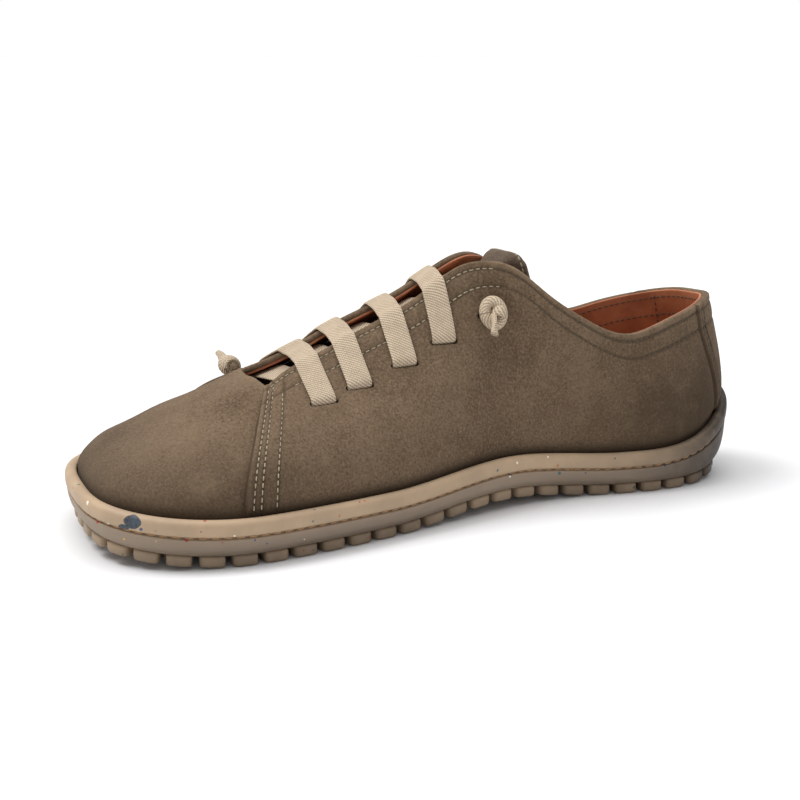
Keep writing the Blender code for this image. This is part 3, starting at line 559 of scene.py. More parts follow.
# The vamp's free edge: how far it reaches on over the tongue, and the up from
# which the skin follows it.
VAMP_ARCH = 0.0075
ARCH_START = 0.72

# Bells on the skin, as place, width and height. The first three shape it beside a
# seam's line and below the top edge. The next ones say where it is worn, and where
# shade is painted below a panel's step and at the foot. Then come the width of a trough
# under stitches and how much painted shade it gets, the height of the leather's slow
# waves, and how far from an edge waves and creases fade.
SEAM_LIP = (0.0009, 0.0008, 0.00022)
SEAM_FOOT = (-0.0009, 0.0007, 0.00030)
EDGE_ROLL = (0.0058, 0.0022, 0.00018)
EDGE_WEAR = (0.0, 0.0016, 1.0)
SEAM_WEAR = (0.0009, 0.0006, 0.5)
# Painted shade below a panel's step and at the foot by the sole.
SEAM_PAINTED_SHADE = (-0.00035, 0.00042, 1.6)
FOOT_PAINTED_SHADE = (0.0, 0.0035, 1.0)
TROUGH_WIDTH = 0.0006
TROUGH_PAINTED_SHADE = 0.8
SLOW_WAVE = 0.00022
WAVE_FADE_TOP = 0.012
WAVE_FADE_FOOT = 0.010
CREASE_FADE_FOOT = 0.008

# Creases and dents: from one place to another, then width and depth. A place is
# a rib, how far on from it to the next ones, and an up. For their width, a whole
# turn counts as CREASE_AROUND metres and a whole up as CREASE_TALL.
CREASE_AROUND = 0.62
CREASE_TALL = 0.075
CREASE_RIDGE = 0.45
CREASES = {
    "vamp flex medial":   ("joint medial", 0.5, 0.62, "toe medial", 0.2, 0.74, 0.0060, 0.00022),
    "toe dent medial":    ("toe corner medial", 0.3, 0.40, "joint medial", 0.6, 0.52, 0.0080, 0.00050),
    "toe dent lateral":   ("toe corner lateral", 0.1, 0.42, "joint lateral", 0.2, 0.50, 0.0080, 0.00045),
    "waist fold medial":  ("throat 5 medial", 0.2, 0.16, "throat 6 medial", 0.8, 0.62, 0.0070, 0.00070),
    "ankle fold medial":  ("collar 2 medial", 0.1, 0.25, "collar 2 medial", 0.7, 0.72, 0.0065, 0.00060),
    "collar sag medial":  ("collar 3 medial", 0.2, 0.45, "collar 4 medial", 0.4, 0.80, 0.0060, 0.00055),
    "heel dent medial":   ("collar 5 medial", 0.0, 0.20, "collar 5 medial", 0.5, 0.55, 0.0060, 0.00045),
    "waist fold lateral": ("throat 5 lateral", 0.0, 0.20, "throat 6 lateral", 0.4, 0.60, 0.0070, 0.00065),
    "ankle fold lateral": ("collar 2 lateral", 0.2, 0.25, "collar 1 lateral", 0.3, 0.70, 0.0065, 0.00060),
    "collar sag lateral": ("collar 4 lateral", 0.2, 0.50, "collar 3 lateral", 0.2, 0.82, 0.0060, 0.00050),
}


def mesh_piece(name, points, faces, material, replaced, uv=None, attributes=None):
    """A mesh of the last's points, at the origin, that rides and stands for CAD nodes."""
    mesh = bpy.data.meshes.new(name)
    faces = faces.tolist() if isinstance(faces, np.ndarray) else faces
    mesh.from_pydata(placed(points).tolist(), [], faces)
    mesh.validate()
    mesh.materials.append(material)
    mesh.shade_smooth()
    for key, values in (attributes or {}).items():
        layer = mesh.attributes.new(key, "FLOAT", "POINT")
        layer.data.foreach_set("value", np.asarray(values, np.float32).ravel())
    if uv is not None:
        layer = mesh.uv_layers.new(name="cloth")
        corner = np.empty(len(mesh.loops), np.int32)
        mesh.loops.foreach_get("vertex_index", corner)
        layer.data.foreach_set("uv", np.asarray(uv, np.float32).reshape(-1, 2)[corner].ravel())
    piece = bpy.data.objects.new(name, mesh)
    bpy.context.collection.objects.link(piece)
    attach(piece, "root")
    if replaced:
        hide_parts(*replaced)
    return piece


def grid_faces(rows, columns, closed_columns=True, closed_rows=False, start=0):
    """Quads of a grid of points stored row by row, as an array of corner numbers."""
    last_column = columns if closed_columns else columns - 1
    last_row = rows if closed_rows else rows - 1
    r, c = np.meshgrid(np.arange(last_row), np.arange(last_column), indexing="ij")
    next_row, next_column = (r + 1) % rows, (c + 1) % columns
    quads = np.stack([r * columns + c, r * columns + next_column,
                      next_row * columns + next_column, next_row * columns + c], axis=-1)
    return quads.reshape(-1, 4) + start


def off_seam(turn, name, along):
    """Metres from a seam's line into its panel, at the last's speed there."""
    return turn_gap(turn, TURN_OF[name]) * SEAMS[name] * along


def tube_faces(rings, sides, closed=False):
    """Faces of a tube of rings: its wall, and then its two ends unless it is a loop."""
    faces = grid_faces(rings, sides, closed_rows=closed).tolist()
    if not closed:
        faces += [list(range(sides - 1, -1, -1)), list(range((rings - 1) * sides, rings * sides))]
    return faces


def skin_turns():
    """Turns of the skin's columns: even steps, closer beside each seam, a pair on it."""
    fine = np.linspace(0, 1, 4001)
    along, _ = detail_speed(fine, 0.5)
    density = along / COLUMN_STEP
    for name in SEAMS:
        away = off_seam(fine, name, along)
        density = density + along / SEAM_STEP * ((away > -SEAM_MARGIN) & (away < SEAM_ZONE))
    run = np.concatenate([[0], np.cumsum(0.5 * (density[1:] + density[:-1]) * np.diff(fine))])
    count = int(run[-1])
    turns = np.interp(np.arange(count) * run[-1] / count, run, fine)
    pairs = []
    for name in SEAMS:
        half = 0.5 * SEAM_RAMP / detail_speed(TURN_OF[name], 0.5)[0][0]
        turns = turns[np.abs(turns - TURN_OF[name]) > 1.6 * half]
        pairs += [TURN_OF[name] - half, TURN_OF[name] + half]
    return np.sort(np.concatenate([turns, pairs]))


def between_turns(turn, low, high):
    """1 between two named ribs and 0 outside, with a ramp as wide as a seam's."""
    low_side = (turn - TURN_OF[low]) * SEAM_SPEED / SEAM_RAMP + 0.5
    high_side = (TURN_OF[high] - turn) * SEAM_SPEED / SEAM_RAMP + 0.5
    return smooth(low_side) * smooth(high_side)


def turn_beyond(rib, beyond):
    """The turn of a rib, or of a place that many ribs beyond it."""
    marks = np.append(TURNS, 1.0 + TURNS)
    return np.interp(RIB_NAMES.index(rib) + beyond, np.arange(len(marks)), marks) % 1.0


def creases(turn, up):
    """The soft troughs: a bell across each crease's line, and lower ridges beside it."""
    depth = np.zeros(np.broadcast(turn, up).shape)
    for rib_a, on_a, up_a, rib_b, on_b, up_b, width, deep in CREASES.values():
        start, end = turn_beyond(rib_a, on_a), turn_beyond(rib_b, on_b)
        line = np.array([turn_gap(end, start) * CREASE_AROUND, (up_b - up_a) * CREASE_TALL])
        x = turn_gap(turn, start) * CREASE_AROUND
        y = (up - up_a) * CREASE_TALL
        share = np.clip((x * line[0] + y * line[1]) / (line @ line), 0, 1)
        away = np.hypot(x - share * line[0], y - share * line[1])
        depth += bell(away, 0.0, width, deep)
        depth -= bell(away, 1.6 * width, width, CREASE_RIDGE * deep)
    return depth


def vamp_arch():
    """The vamp's free edge: its turns from seam to seam, and its share of the arch.

    The share is a power of the sine of the way along the edge. All of it reaches
    one way, the mean one of the ribs in the middle.
    """
    turns = np.linspace(TURN_OF["seam lateral"] - 1.0, TURN_OF["seam medial"], 241)
    edge = last_point(np.mod(turns, 1.0), 1.0)
    run = run_along(edge)
    share = np.sin(math.pi * run / run[-1]) ** 0.55
    middle = np.mod(turns[100:140], 1.0)
    ahead = np.mean(last_point(middle, 1.0) - last_point(middle, 0.97), axis=0)
    return turns, share, unit(ahead)


VAMP_TURNS, VAMP_SHARE, VAMP_WAY = vamp_arch()


def arch_reach(turn, up):
    """How far the skin moves on with the vamp's arch, which fades in up the rib."""
    turn, up = np.broadcast_arrays(np.atleast_1d(turn), np.atleast_1d(up))
    share = np.interp(turn_gap(turn, 0.0), VAMP_TURNS, VAMP_SHARE, 0.0, 0.0)
    share = share * smooth((up - ARCH_START) / (1 - ARCH_START))
    return VAMP_ARCH * share[:, None] * VAMP_WAY


def skin_point(turn, up, distance):
    """A point off the last, moved on with the vamp's arch."""
    return off_last(turn, up, distance) + arch_reach(turn, up)


def edge_depth(turns, ups):
    """Metres along each rib from a grid's points up to its top row."""
    shape = (len(ups), len(turns))
    points = last_point(np.tile(turns, len(ups)), np.repeat(ups, len(turns))).reshape(*shape, 3)
    step = np.linalg.norm(np.diff(points, axis=0), axis=2)
    return np.concatenate([np.cumsum(step[::-1], axis=0)[::-1], np.zeros((1, len(turns)))])


def skin_relief(turns, ups):
    """How far the suede stands off the last on a grid, its mask of wear and its mask of painted shade.

    The panels' steps, a trough under each stitch row with a soft roll beside it,
    the creases, and a slow unevenness of the leather.
    """
    shape = (len(ups), len(turns))
    turn, up = np.tile(turns, len(ups)), np.repeat(ups, len(turns))
    deep = edge_depth(turns, ups).ravel()
    along, _ = detail_speed(turn, up)
    quarter = between_turns(turn, "seam medial", "seam lateral")
    strip = between_turns(turn, "strip medial", "strip lateral")
    height = last_point(turn, up)[:, 2] - last_point(turn, 0.0 * up)[:, 2]
    fade = smooth(height / OVERLAY_FADE)
    out = (QUARTER_STEP * quarter + STRIP_STEP * strip) * fade
    trough = np.zeros(turn.shape)
    # The mask of painted shade: darker at the foot by the sole, below each panel's step and in the troughs
    # under stitches.
    edges, painted_shade = bell(deep, *EDGE_WEAR), bell(height, *FOOT_PAINTED_SHADE)
    for row in EDGE_ROWS:
        trough += bell(deep, row, TROUGH_WIDTH) * quarter
    for name in SEAMS:
        away = off_seam(turn, name, along)
        for row in FRONT_ROWS if name.startswith("seam") else STRIP_ROWS:
            trough += bell(away, row, TROUGH_WIDTH)
        out += bell(away, *SEAM_LIP) * fade
        out -= bell(away, *SEAM_FOOT) * fade
        edges = np.maximum(edges, bell(away, *SEAM_WEAR))
        painted_shade += bell(away, *SEAM_PAINTED_SHADE)
    trough = np.clip(trough, 0, 1)
    out -= STITCH_TROUGH * trough
    out += bell(deep, *EDGE_ROLL) * quarter
    out -= creases(turn, up) * smooth(height / CREASE_FADE_FOOT)
    place = last_point(turn, up)
    slow = (np.sin(place[:, 1] * 95 + 1.3) * np.sin(place[:, 2] * 120 + place[:, 0] * 60)
            + 0.6 * np.sin(place[:, 1] * 210 + place[:, 2] * 160 + 0.7))
    out += SLOW_WAVE * slow * smooth(deep / WAVE_FADE_TOP) * smooth(height / WAVE_FADE_FOOT)
    painted_shade = np.clip(painted_shade + TROUGH_PAINTED_SHADE * trough, 0, 1)
    return out.reshape(shape), {"worn_edge": edges, "painted_shade": painted_shade}


def bottom_rows(turns, away, bottom):
    """Two rows of a skin below the feather line, straight down inside the cup."""
    foot = last_point(turns, 0.0)
    out = np.column_stack([outline(turns)[1], np.zeros(len(turns))])
    rows = []
    for share in (0.0, 0.55):
        row = foot + np.broadcast_to(away, turns.shape)[:, None] * out
        row[:, 2] = bottom + share * (foot[:, 2] - bottom)
        rows.append(row)
    return rows


def rim_rows(turns, outer, inner, crown, count):
    """Rows over the top edge: half an oval from the outer skin to the inner one."""
    top, normal = last_point(turns, 1.0), last_normal(turns, 1.0)
    over = unit(top - last_point(turns, 0.985))
    top = top + arch_reach(turns, 1.0)
    middle, half = 0.5 * (outer + inner), 0.5 * (outer - inner)
    rows = []
    for angle in np.linspace(0, math.pi, count + 2)[1:-1]:
        offset = middle + half * math.cos(angle)
        rows.append(top + normal * np.atleast_1d(offset)[:, None] + over * crown * math.sin(angle))
    return rows


def slit_cutter():
    """One mesh of all the lace's slits: rounded bars through the wall."""
    points, faces, count = [], [], 16
    round_x, round_y = oval(np.linspace(0, 2 * math.pi, count, endpoint=False), *SLIT_OVAL)
    walls = tube_faces(2, count)
    for name in SLITS:
        centre = slit_frame(name)[2]
        way, along, normal = slit_axes(name, bar_partner(name))
        start = len(points)
        for deep in SLIT_CUT:
            ring = (centre + np.outer(round_x * SLIT_WIDTH / 2, way)
                    + np.outer(round_y * SLIT_LENGTH / 2, along) + normal * deep)
            points += list(placed(ring))
        faces += [[start + v for v in face] for face in walls[-2:] + walls[:-2]]
    mesh = bpy.data.meshes.new("slits")
    mesh.from_pydata([tuple(p) for p in points], [], faces)
    cutter = bpy.data.objects.new("slits", mesh)
    bpy.context.collection.objects.link(cutter)
    return cutter


def cut(piece, cutter):
    """Take the cutter's space out of a piece, and keep the piece's own layers."""
    step = piece.modifiers.new("slits", "BOOLEAN")
    step.operation, step.solver, step.object = "DIFFERENCE", "EXACT", cutter
    finished = piece.evaluated_get(bpy.context.evaluated_depsgraph_get())
    shape = bpy.data.meshes.new_from_object(finished)
    piece.modifiers.remove(step)
    piece.data = shape


def make_suede(material):
    """The outer skin: outer rows with the relief, a rounded top edge, an inner face."""
    turns = skin_turns()
    count = len(turns)
    ups = 1 - np.linspace(1, 0, SKIN_ROWS) ** SKIN_CROWDING
    relief, masks = skin_relief(turns, ups)
    bottom = cup_floor(turns) + FIT
    rows = bottom_rows(turns, relief[0], bottom)
    turn, up = np.tile(turns, len(ups)), np.repeat(ups, count)
    outer = skin_point(turn, up, relief.ravel()).reshape(len(ups), count, 3)
    rows += list(outer)
    rows += rim_rows(turns, relief[-1], -SUEDE_LAYER, SUEDE_CROWN, 3)
    for level in INNER_LEVELS[::-1]:
        rows.append(skin_point(turns, np.full(count, level), -SUEDE_LAYER))
    rows.append(bottom_rows(turns, -SUEDE_LAYER, bottom)[0])
    below, beyond = 2, len(rows) - 2 - len(ups)
    masks = {key: np.pad(values.reshape(len(ups), count), ((below, beyond), (0, 0)), mode="edge")
             for key, values in masks.items()}
    faces = grid_faces(len(rows), count, closed_rows=True)
    return mesh_piece("suede_skin", np.concatenate(rows), faces, material,
                      ["upper"], attributes=masks)


def make_lining(material):
    """The lining: a smooth skin inside the suede, with its own thin edge showing."""
    turns = skin_turns()[::2]
    count = len(turns)
    bottom = cup_floor(turns) + FIT
    ups = 1 - np.linspace(1, 0, 30) ** 1.3
    rows = [bottom_rows(turns, -SUEDE_LAYER, bottom)[0]]
    for level in INNER_LEVELS:
        rows.append(skin_point(turns, np.full(count, level), -SUEDE_LAYER - LAYER_GAP))
    rows += rim_rows(turns, np.full(count, -SUEDE_LAYER), -WALL, LINING_CROWN, 3)
    for level in ups[::-1]:
        rows.append(skin_point(turns, np.full(count, level), -WALL))
    rows.append(bottom_rows(turns, -WALL, bottom)[0])
    faces = grid_faces(len(rows), count, closed_rows=True)
    return mesh_piece("lining", np.concatenate(rows), faces, material, ["upper"])


def below_edge(turns, depth):
    """The up that lies a depth in metres under the top edge on each rib."""
    ups = np.linspace(0, 1, 121)
    deep = edge_depth(turns, ups)
    index = np.clip((deep > depth).sum(axis=0) - 1, 0, len(ups) - 2)
    column_numbers = np.arange(len(turns))
    high, low = deep[index, column_numbers], deep[index + 1, column_numbers]
    share = np.clip((high - depth) / np.maximum(high - low, 1e-9), 0, 1)
    return ups[index] + share * (ups[index + 1] - ups[index])


def behind_seam(name, ups, distance):
    """The turn that lies a distance in metres inside a seam's line at each up."""
    base = np.full(len(ups), TURN_OF[name])
    along, _ = detail_speed(base, ups)
    turn = base + SEAMS[name] * distance / along
    along, _ = detail_speed(0.5 * (base + turn), ups)
    return base + SEAMS[name] * distance / along


def stitch_mesh(rows, pitch, length, radius):
    """Stitches along rows of points with normals: a capsule for each stitch.

    Its rings lie at shares of its half length, as thick as shares of its radius.
    """
    ring = np.linspace(0, 2 * math.pi, 6, endpoint=False)
    stations = np.array([-1.0, -0.82, -0.3, 0.3, 0.82, 1.0])
    thick = np.array([0.25, 0.8, 1.0, 1.0, 0.8, 0.25])
    first_end = np.array([(0, 3, 2, 1), (0, 5, 4, 3)])
    last_end = np.array([(0, 1, 2, 3), (0, 3, 4, 5)]) + (len(stations) - 1) * len(ring)
    points, faces, start = [], [], 0
    for path, normals in rows:
        run, small = run_along(path), 2e-4
        count = max(1, int(run[-1] / pitch))
        middle = (np.arange(count) + 0.5) * run[-1] / count
        normal = unit(rows_at(middle, run, normals))
        along = unit(rows_at(middle + small, run, path) - rows_at(middle - small, run, path))
        side = np.cross(normal, along)
        body = (rows_at(middle, run, path)[:, None, None]
                + along[:, None, None] * (stations * length / 2)[None, :, None, None]
                + side[:, None, None] * (thick[:, None] * np.cos(ring) * radius)[None, :, :, None]
                + normal[:, None, None] * (thick[:, None] * np.sin(ring) * radius)[None, :, :, None])
        points.append(body.reshape(-1, 3))
        one = np.concatenate([grid_faces(len(stations), len(ring)), first_end, last_end])
        block = len(stations) * len(ring)
        faces.append((one[None] + (start + np.arange(count) * block)[:, None, None]).reshape(-1, 4))
        start += count * block
    return np.concatenate(points), np.concatenate(faces)


def on_skin(turns, ups, sunk):
    """Points and normals on the suede over the panels, sunk by a little."""
    quarter = between_turns(turns, "seam medial", "seam lateral")
    strip = between_turns(turns, "strip medial", "strip lateral")
    out = QUARTER_STEP * quarter + STRIP_STEP * strip - creases(turns, ups)
    return off_last(turns, ups, out - sunk), last_normal(turns, ups)


def edge_row(low, high, margin_low, margin_high, depth):
    """A stitch row along the top edge between two named ribs."""
    speed = detail_speed(np.array([TURN_OF[low], TURN_OF[high]]), 1.0)[0]
    start, end = TURN_OF[low] + margin_low / speed[0], TURN_OF[high] - margin_high / speed[1]
    turns = np.linspace(start, end, 260)
    return on_skin(turns, below_edge(turns, depth), STITCH_SUNK)


def seam_row(name, low, high, distance):
    """A stitch row beside a seam, from one up to another."""
    ups = np.linspace(low, high, 160)
    return on_skin(behind_seam(name, ups, distance), ups, STITCH_SUNK)


def inner_row(low, high, depth):
    """A stitch row on the lining, along the top edge between two named ribs."""
    turns = np.linspace(TURN_OF[low], TURN_OF[high], 520)
    points = off_last(turns, below_edge(turns, depth), -WALL - INNER_SUNK)
    return points, -last_normal(turns, np.ones(len(turns)))


def inner_seam(turn):
    """A stitch row down the lining on one rib."""
    ups = np.linspace(0.25, 0.965, 120)
    turns = np.full(len(ups), turn)
    return off_last(turns, ups, -WALL - INNER_SUNK), -last_normal(turns, ups)


def make_stitches(cream, tonal):
    """The rows of thread: cream in front and on the throat, darker on the collar."""
    light, dark = [], []
    for side in ("medial", "lateral"):
        seam, strip = "seam " + side, "strip " + side
        for k, distance in enumerate(FRONT_ROWS):
            top = 1 - (FRONT_ROW_END if k < 2 else EDGE_ROWS[1]) / FRONT_SEAM_TALL
            light.append(seam_row(seam, 0.035, top, distance))
        for level in BAR_ROWS:
            distances = np.linspace(FRONT_ROWS[0] - BAR_OVER, FRONT_ROWS[2] + BAR_OVER, 40)
            turns = np.concatenate([behind_seam(seam, np.array([level]), d) for d in distances])
            light.append(on_skin(turns, np.full(len(turns), level), BAR_SUNK))
        for distance in STRIP_ROWS:
            dark.append(seam_row(strip, 0.03, 0.97, distance))
    for k, depth in enumerate(EDGE_ROWS):
        start = FRONT_ROWS[0] if k == 0 else FRONT_ROWS[2]
        light.append(edge_row("seam medial", "corner medial", start, 0.0, depth))
        light.append(edge_row("corner lateral", "seam lateral", 0.0, start, depth))
        for low, high in (("corner medial", "strip medial"), ("strip lateral", "corner lateral")):
            dark.append(edge_row(low, high, COLLAR_ROW_MARGIN, COLLAR_ROW_MARGIN, depth))
    dark += [inner_row("corner medial", "corner lateral", depth) for depth in INNER_ROWS]
    turns = (TURN_OF["strip medial"] + INNER_SEAM_STEP, TURN_OF["strip lateral"] - INNER_SEAM_STEP,
             TURN_OF["collar 1 medial"], TURN_OF["collar 1 lateral"])
    dark += [inner_seam(turn) for turn in turns]
    for name, rows, material in (("stitches_cream", light, cream), ("stitches_tonal", dark, tonal)):
        points, faces = stitch_mesh(rows, STITCH_PITCH, STITCH_LENGTH, STITCH_RADIUS)
        mesh_piece(name, points, faces, material, [])


# The sole as it shows: its columns, its groove's depth and opening, the stitches in
# the groove, the lugs of one side, how far they stand out of the wall and up into
# it, and the inner ones' size in shares of their cells.
SOLE_COLUMNS_SHOWN = 480
GROOVE_SHOWN = 0.0011
GROOVE_OPEN = 0.0010
SOLE_STITCH_PITCH = 0.0042
SOLE_STITCH_LENGTH = 0.0030
THREAD_PROUD = 0.00045
THREAD_RADIUS = 0.00040
LUG_COUNT = 28
LUG_PROUD = 0.0006
LUG_SUNK = 0.0006
INNER_LUG_LONG = 0.86
INNER_LUG_WIDE = 0.93

# The insole's section, up over its side: steps out in metres, and heights in
# shares of its thickness. Its top is dished.
FOOTBED_SECTION = ((-0.0012, 0.0), (0.0, 0.2), (0.0, 0.75), (-0.0007, 0.95), (-0.0022, 1.0))
FOOTBED_DISH = 0.0008


def side_turns(share, lateral):
    """Turns at shares of one side of the feather line, from the toe tip to the heel."""
    fine = np.linspace(0, 1, 2881)
    edge, _ = outline(fine)
    run = run_along(edge)
    heel = np.interp(TURN_OF["heel back"], fine, run)
    if lateral:
        return np.interp(run[-1] - np.asarray(share) * (run[-1] - heel), run, fine)
    return np.interp(np.asarray(share) * heel, run, fine)


def both_sides(half):
    """Turns up the medial side and back down the lateral one, in pairs across."""
    share = np.arange(half) / half
    return np.concatenate([side_turns(share, False), side_turns(1 - share, True)])


def sole_base(turns):
    """The foot of the sole's wall on its lugs: out, height, the wall's height and bow.

    The bow is how much taller the wall is than beside the toe, as a share of
    HEEL_BOW, and draws the foot in by up to half the welt's width.
    """
    base = lift(turns) + LUG_HEIGHT
    tall = welt_top(turns) - base
    bow = np.clip((tall - (SIDE_HEIGHT - LUG_HEIGHT)) / HEEL_BOW, 0, 1)
    return 0.30 * WELT_WIDTH - 0.5 * WELT_WIDTH * bow, base, tall, bow


def chaikin(rows, times):
    """Corners cut off an open profile: each span keeps its second and third quarters."""
    for _ in range(times):
        low = 0.75 * rows[:-1] + 0.25 * rows[1:]
        high = 0.25 * rows[:-1] + 0.75 * rows[1:]
        mixed = np.empty((2 * len(low),) + rows.shape[1:])
        mixed[0::2], mixed[1::2] = low, high
        rows = np.concatenate([rows[:1], mixed, rows[-1:]])
    return rows


def sole_profile(turns):
    """The sole's section at each turn, as rows of (out, height, share of painted shade on the wall)."""
    foot, base, tall, bow = sole_base(turns)
    top, edge = welt_top(turns), WELT_WIDTH
    groove = top - WELT_HEIGHT - 0.5 * (GROOVE_WIDTH - GROOVE_OPEN)
    ones = np.ones(len(turns))
    marks = [
        (foot - LUG_WIDTH, base, 1.0),
        (foot - 0.0012, base, 1.0),
        (foot + 0.0002, base + 0.0005, 1.0),
        (0.62 * edge - 0.25 * edge * bow, base + 0.16 * tall, 1.0),
        (0.74 * edge - 0.12 * edge * bow, base + 0.34 * (groove - base), 1.0),
        (0.84 * edge, base + 0.62 * (groove - GROOVE_OPEN - base), 1.0),
        (0.90 * edge, groove - GROOVE_OPEN - 0.0006, 1.0),
        (0.86 * edge, groove - GROOVE_OPEN, 0.6),
        (0.86 * edge - GROOVE_SHOWN, groove - 0.72 * GROOVE_OPEN, 0.5),
        (0.88 * edge - GROOVE_SHOWN, groove - 0.36 * GROOVE_OPEN, 0.5),
        (0.92 * edge, groove, 0.2),
        (0.99 * edge, groove + 0.0007, 0.0),
        (1.02 * edge, top - 0.52 * WELT_HEIGHT, 0.0),
        (0.95 * edge, top - 0.20 * WELT_HEIGHT, 0.0),
        (0.66 * edge, top - 0.01 * WELT_HEIGHT, 0.0),
        (0.34 * edge, top - 0.02 * WELT_HEIGHT, 0.0),
        (0.10 * edge, top - 0.14 * WELT_HEIGHT, 0.0),
        (FIT * ones, top - 0.30 * WELT_HEIGHT, 0.0),
        (FIT * ones, cup_floor(turns), 0.0),
    ]
    rows = np.array([np.stack([out * ones, height * ones, share * ones], axis=1)
                     for out, height, share in marks])
    return chaikin(rows, 2)


def closing_grid(ring, rungs):
    """Points from each medial column straight across to its lateral one."""
    half = len(ring) // 2
    near = ring[:half + 1]
    far = np.concatenate([ring[:1], ring[:half - 1:-1]])
    share = np.linspace(0, 1, rungs + 1)[:, None, None]
    return near[None] + (far - near)[None] * share


def closed_band(rows, rungs, first_way=1, dish=0.0):
    """A band of closed rows, its first and last row closed across to a solid.

    With first_way -1 the first closing's faces are turned over. The last closing
    is dished: a parabola from side to side, with its depth given.
    """
    points, faces = [rows.reshape(-1, 3)], [grid_faces(*rows.shape[:2])]
    start, share = len(points[0]), np.linspace(0, 1, rungs + 1)[:, None]
    for ring, depth, way in ((rows[0], 0.0, first_way), (rows[-1], dish, 1)):
        grid = closing_grid(ring, rungs)
        grid[:, :, 2] -= depth * (4 * share * (1 - share))
        points.append(grid.reshape(-1, 3))
        faces.append(grid_faces(*grid.shape[:2], closed_columns=False, start=start)[:, ::way])
        start += len(points[-1])
    return np.concatenate(points), np.concatenate(faces)


def make_cup(material):
    """The cup: its section carried round the feather line, closed below and inside.

    Its mask of painted shade is 1 on the wall and below, and 0 on the welt and inside.
    """
    turns = both_sides(SOLE_COLUMNS_SHOWN // 2)
    profile = sole_profile(turns)
    rows = np.array([np.column_stack([outline(turns, row[:, 0])[0], row[:, 1]]) for row in profile])
    points, faces = closed_band(rows, 14, first_way=-1)
    # The band mask paints shade: darker on the wall below the welt, in the groove and underneath.
    band = profile[:, :, 2].ravel()
    closing = (len(points) - len(band)) // 2
    band = np.concatenate([band, np.ones(closing), np.zeros(closing)])
    weld(mesh_piece("cup_sole", points, faces, material, ["outsole"],
                    attributes={"band": band}))


def weld(piece):
    """Join a mesh's doubled points, and turn its faces outwards."""
    shape = bmesh.new()
    shape.from_mesh(piece.data)
    bmesh.ops.remove_doubles(shape, verts=shape.verts, dist=2e-6)
    bmesh.ops.dissolve_degenerate(shape, edges=shape.edges, dist=1e-7)
    bmesh.ops.recalc_face_normals(shape, faces=shape.faces)
    shape.to_mesh(piece.data)
    shape.free()


def lug_template(size, power):
    """A rounded block: a cube's grid drawn in to a superellipsoid of a high power."""
    line = np.linspace(-1, 1, size)
    a, b = np.meshgrid(line, line, indexing="ij")
    one = np.ones_like(a)
    sides = [(a, b, one), (b, a, -one), (one, a, b), (-one, b, a), (b, one, a), (a, -one, b)]
    points = np.concatenate([np.stack(side, axis=-1).reshape(-1, 3) for side in sides])
    points = points / (np.abs(points) ** power).sum(axis=1, keepdims=True) ** (1 / power)
    faces = np.concatenate([grid_faces(size, size, closed_columns=False, start=k * size * size)
                            for k in range(6)])
    return points, faces


def under_point(share, across):
    """A point of the sole's flat underside: along the sides, and across from medial."""
    ends = []
    for lateral in (False, True):
        turns = side_turns(share, lateral)
        foot, base, _, _ = sole_base(turns)
        plan, _ = outline(turns, foot - LUG_WIDTH)
        ends.append(np.column_stack([plan, base]))
    return ends[0] + (ends[1] - ends[0]) * np.asarray(across)[:, None]


def make_lugs(material):
    """The lugs: a row of blocks round the edge, and three rows between them."""
    template, quads = lug_template(7, 7.0)
    ahead, across, up = template.T
    down = LUG_SUNK - (LUG_HEIGHT + LUG_SUNK) * (0.5 - 0.5 * up)
    blocks, gap = [], 0.5 * LUG_GAP
    for lateral in (False, True):
        for k in range(LUG_COUNT):
            ends = side_turns(np.array([k, k + 1]) / LUG_COUNT, lateral)
            centre, half = ends.mean(), 0.5 * abs(ends[1] - ends[0])
            speed = detail_speed(centre, 0.0)[0][0]
            turns = centre + ahead * (half - gap / speed)
            foot, base, _, _ = sole_base(turns)
            out = foot + LUG_PROUD - (LUG_WIDTH + LUG_PROUD - gap) * (0.5 - 0.5 * across)
            blocks.append(np.column_stack([outline(turns, out)[0], base + down]))
    rows = LUG_COUNT * 2
    for k in range(3):
        for i in range(2, rows - 3, 3):
            block = under_point((i + 1.5 + 1.5 * ahead * INNER_LUG_LONG) / rows,
                                (k + 0.5 + 0.5 * across * INNER_LUG_WIDE) / 3)
            block[:, 2] += down
            blocks.append(block)
    faces = np.concatenate([quads + k * len(template) for k in range(len(blocks))])
    points = np.concatenate(blocks)
    points[:, 2] = np.maximum(points[:, 2], 0.0)
    weld(mesh_piece("lugs", points, faces, material, ["outsole"]))


def make_sole_stitches(material):
    """The thread in the sole's groove, all the way round."""
    turns = np.linspace(0, 1, 1500)
    out = 0.86 * WELT_WIDTH - GROOVE_SHOWN + THREAD_PROUD
    plan, normal = outline(turns, out)
    height = welt_top(turns) - WELT_HEIGHT - 0.5 * GROOVE_WIDTH
    path = np.column_stack([plan, height])
    normals = np.column_stack([normal, np.full(len(turns), 0.15)])
    points, faces = stitch_mesh([(path, normals)], SOLE_STITCH_PITCH, SOLE_STITCH_LENGTH, THREAD_RADIUS)
    mesh_piece("sole_thread", points, faces, material, [])


def make_footbed(material):
    """The insole: a thin bed, a little dished, on the cup's floor."""
    turns = both_sides(90)
    inset = -(WALL + INSOLE_FIT)
    floor = cup_floor(turns) + FIT
    rows = []
    for out, height in FOOTBED_SECTION:
        plan, _ = outline(turns, inset + out)
        rows.append(np.column_stack([plan, floor + height * INSOLE_THICKNESS]))
    points, faces = closed_band(np.array(rows), 12, dish=FOOTBED_DISH)
    weld(mesh_piece("footbed", points, faces, material, ["insole"]))


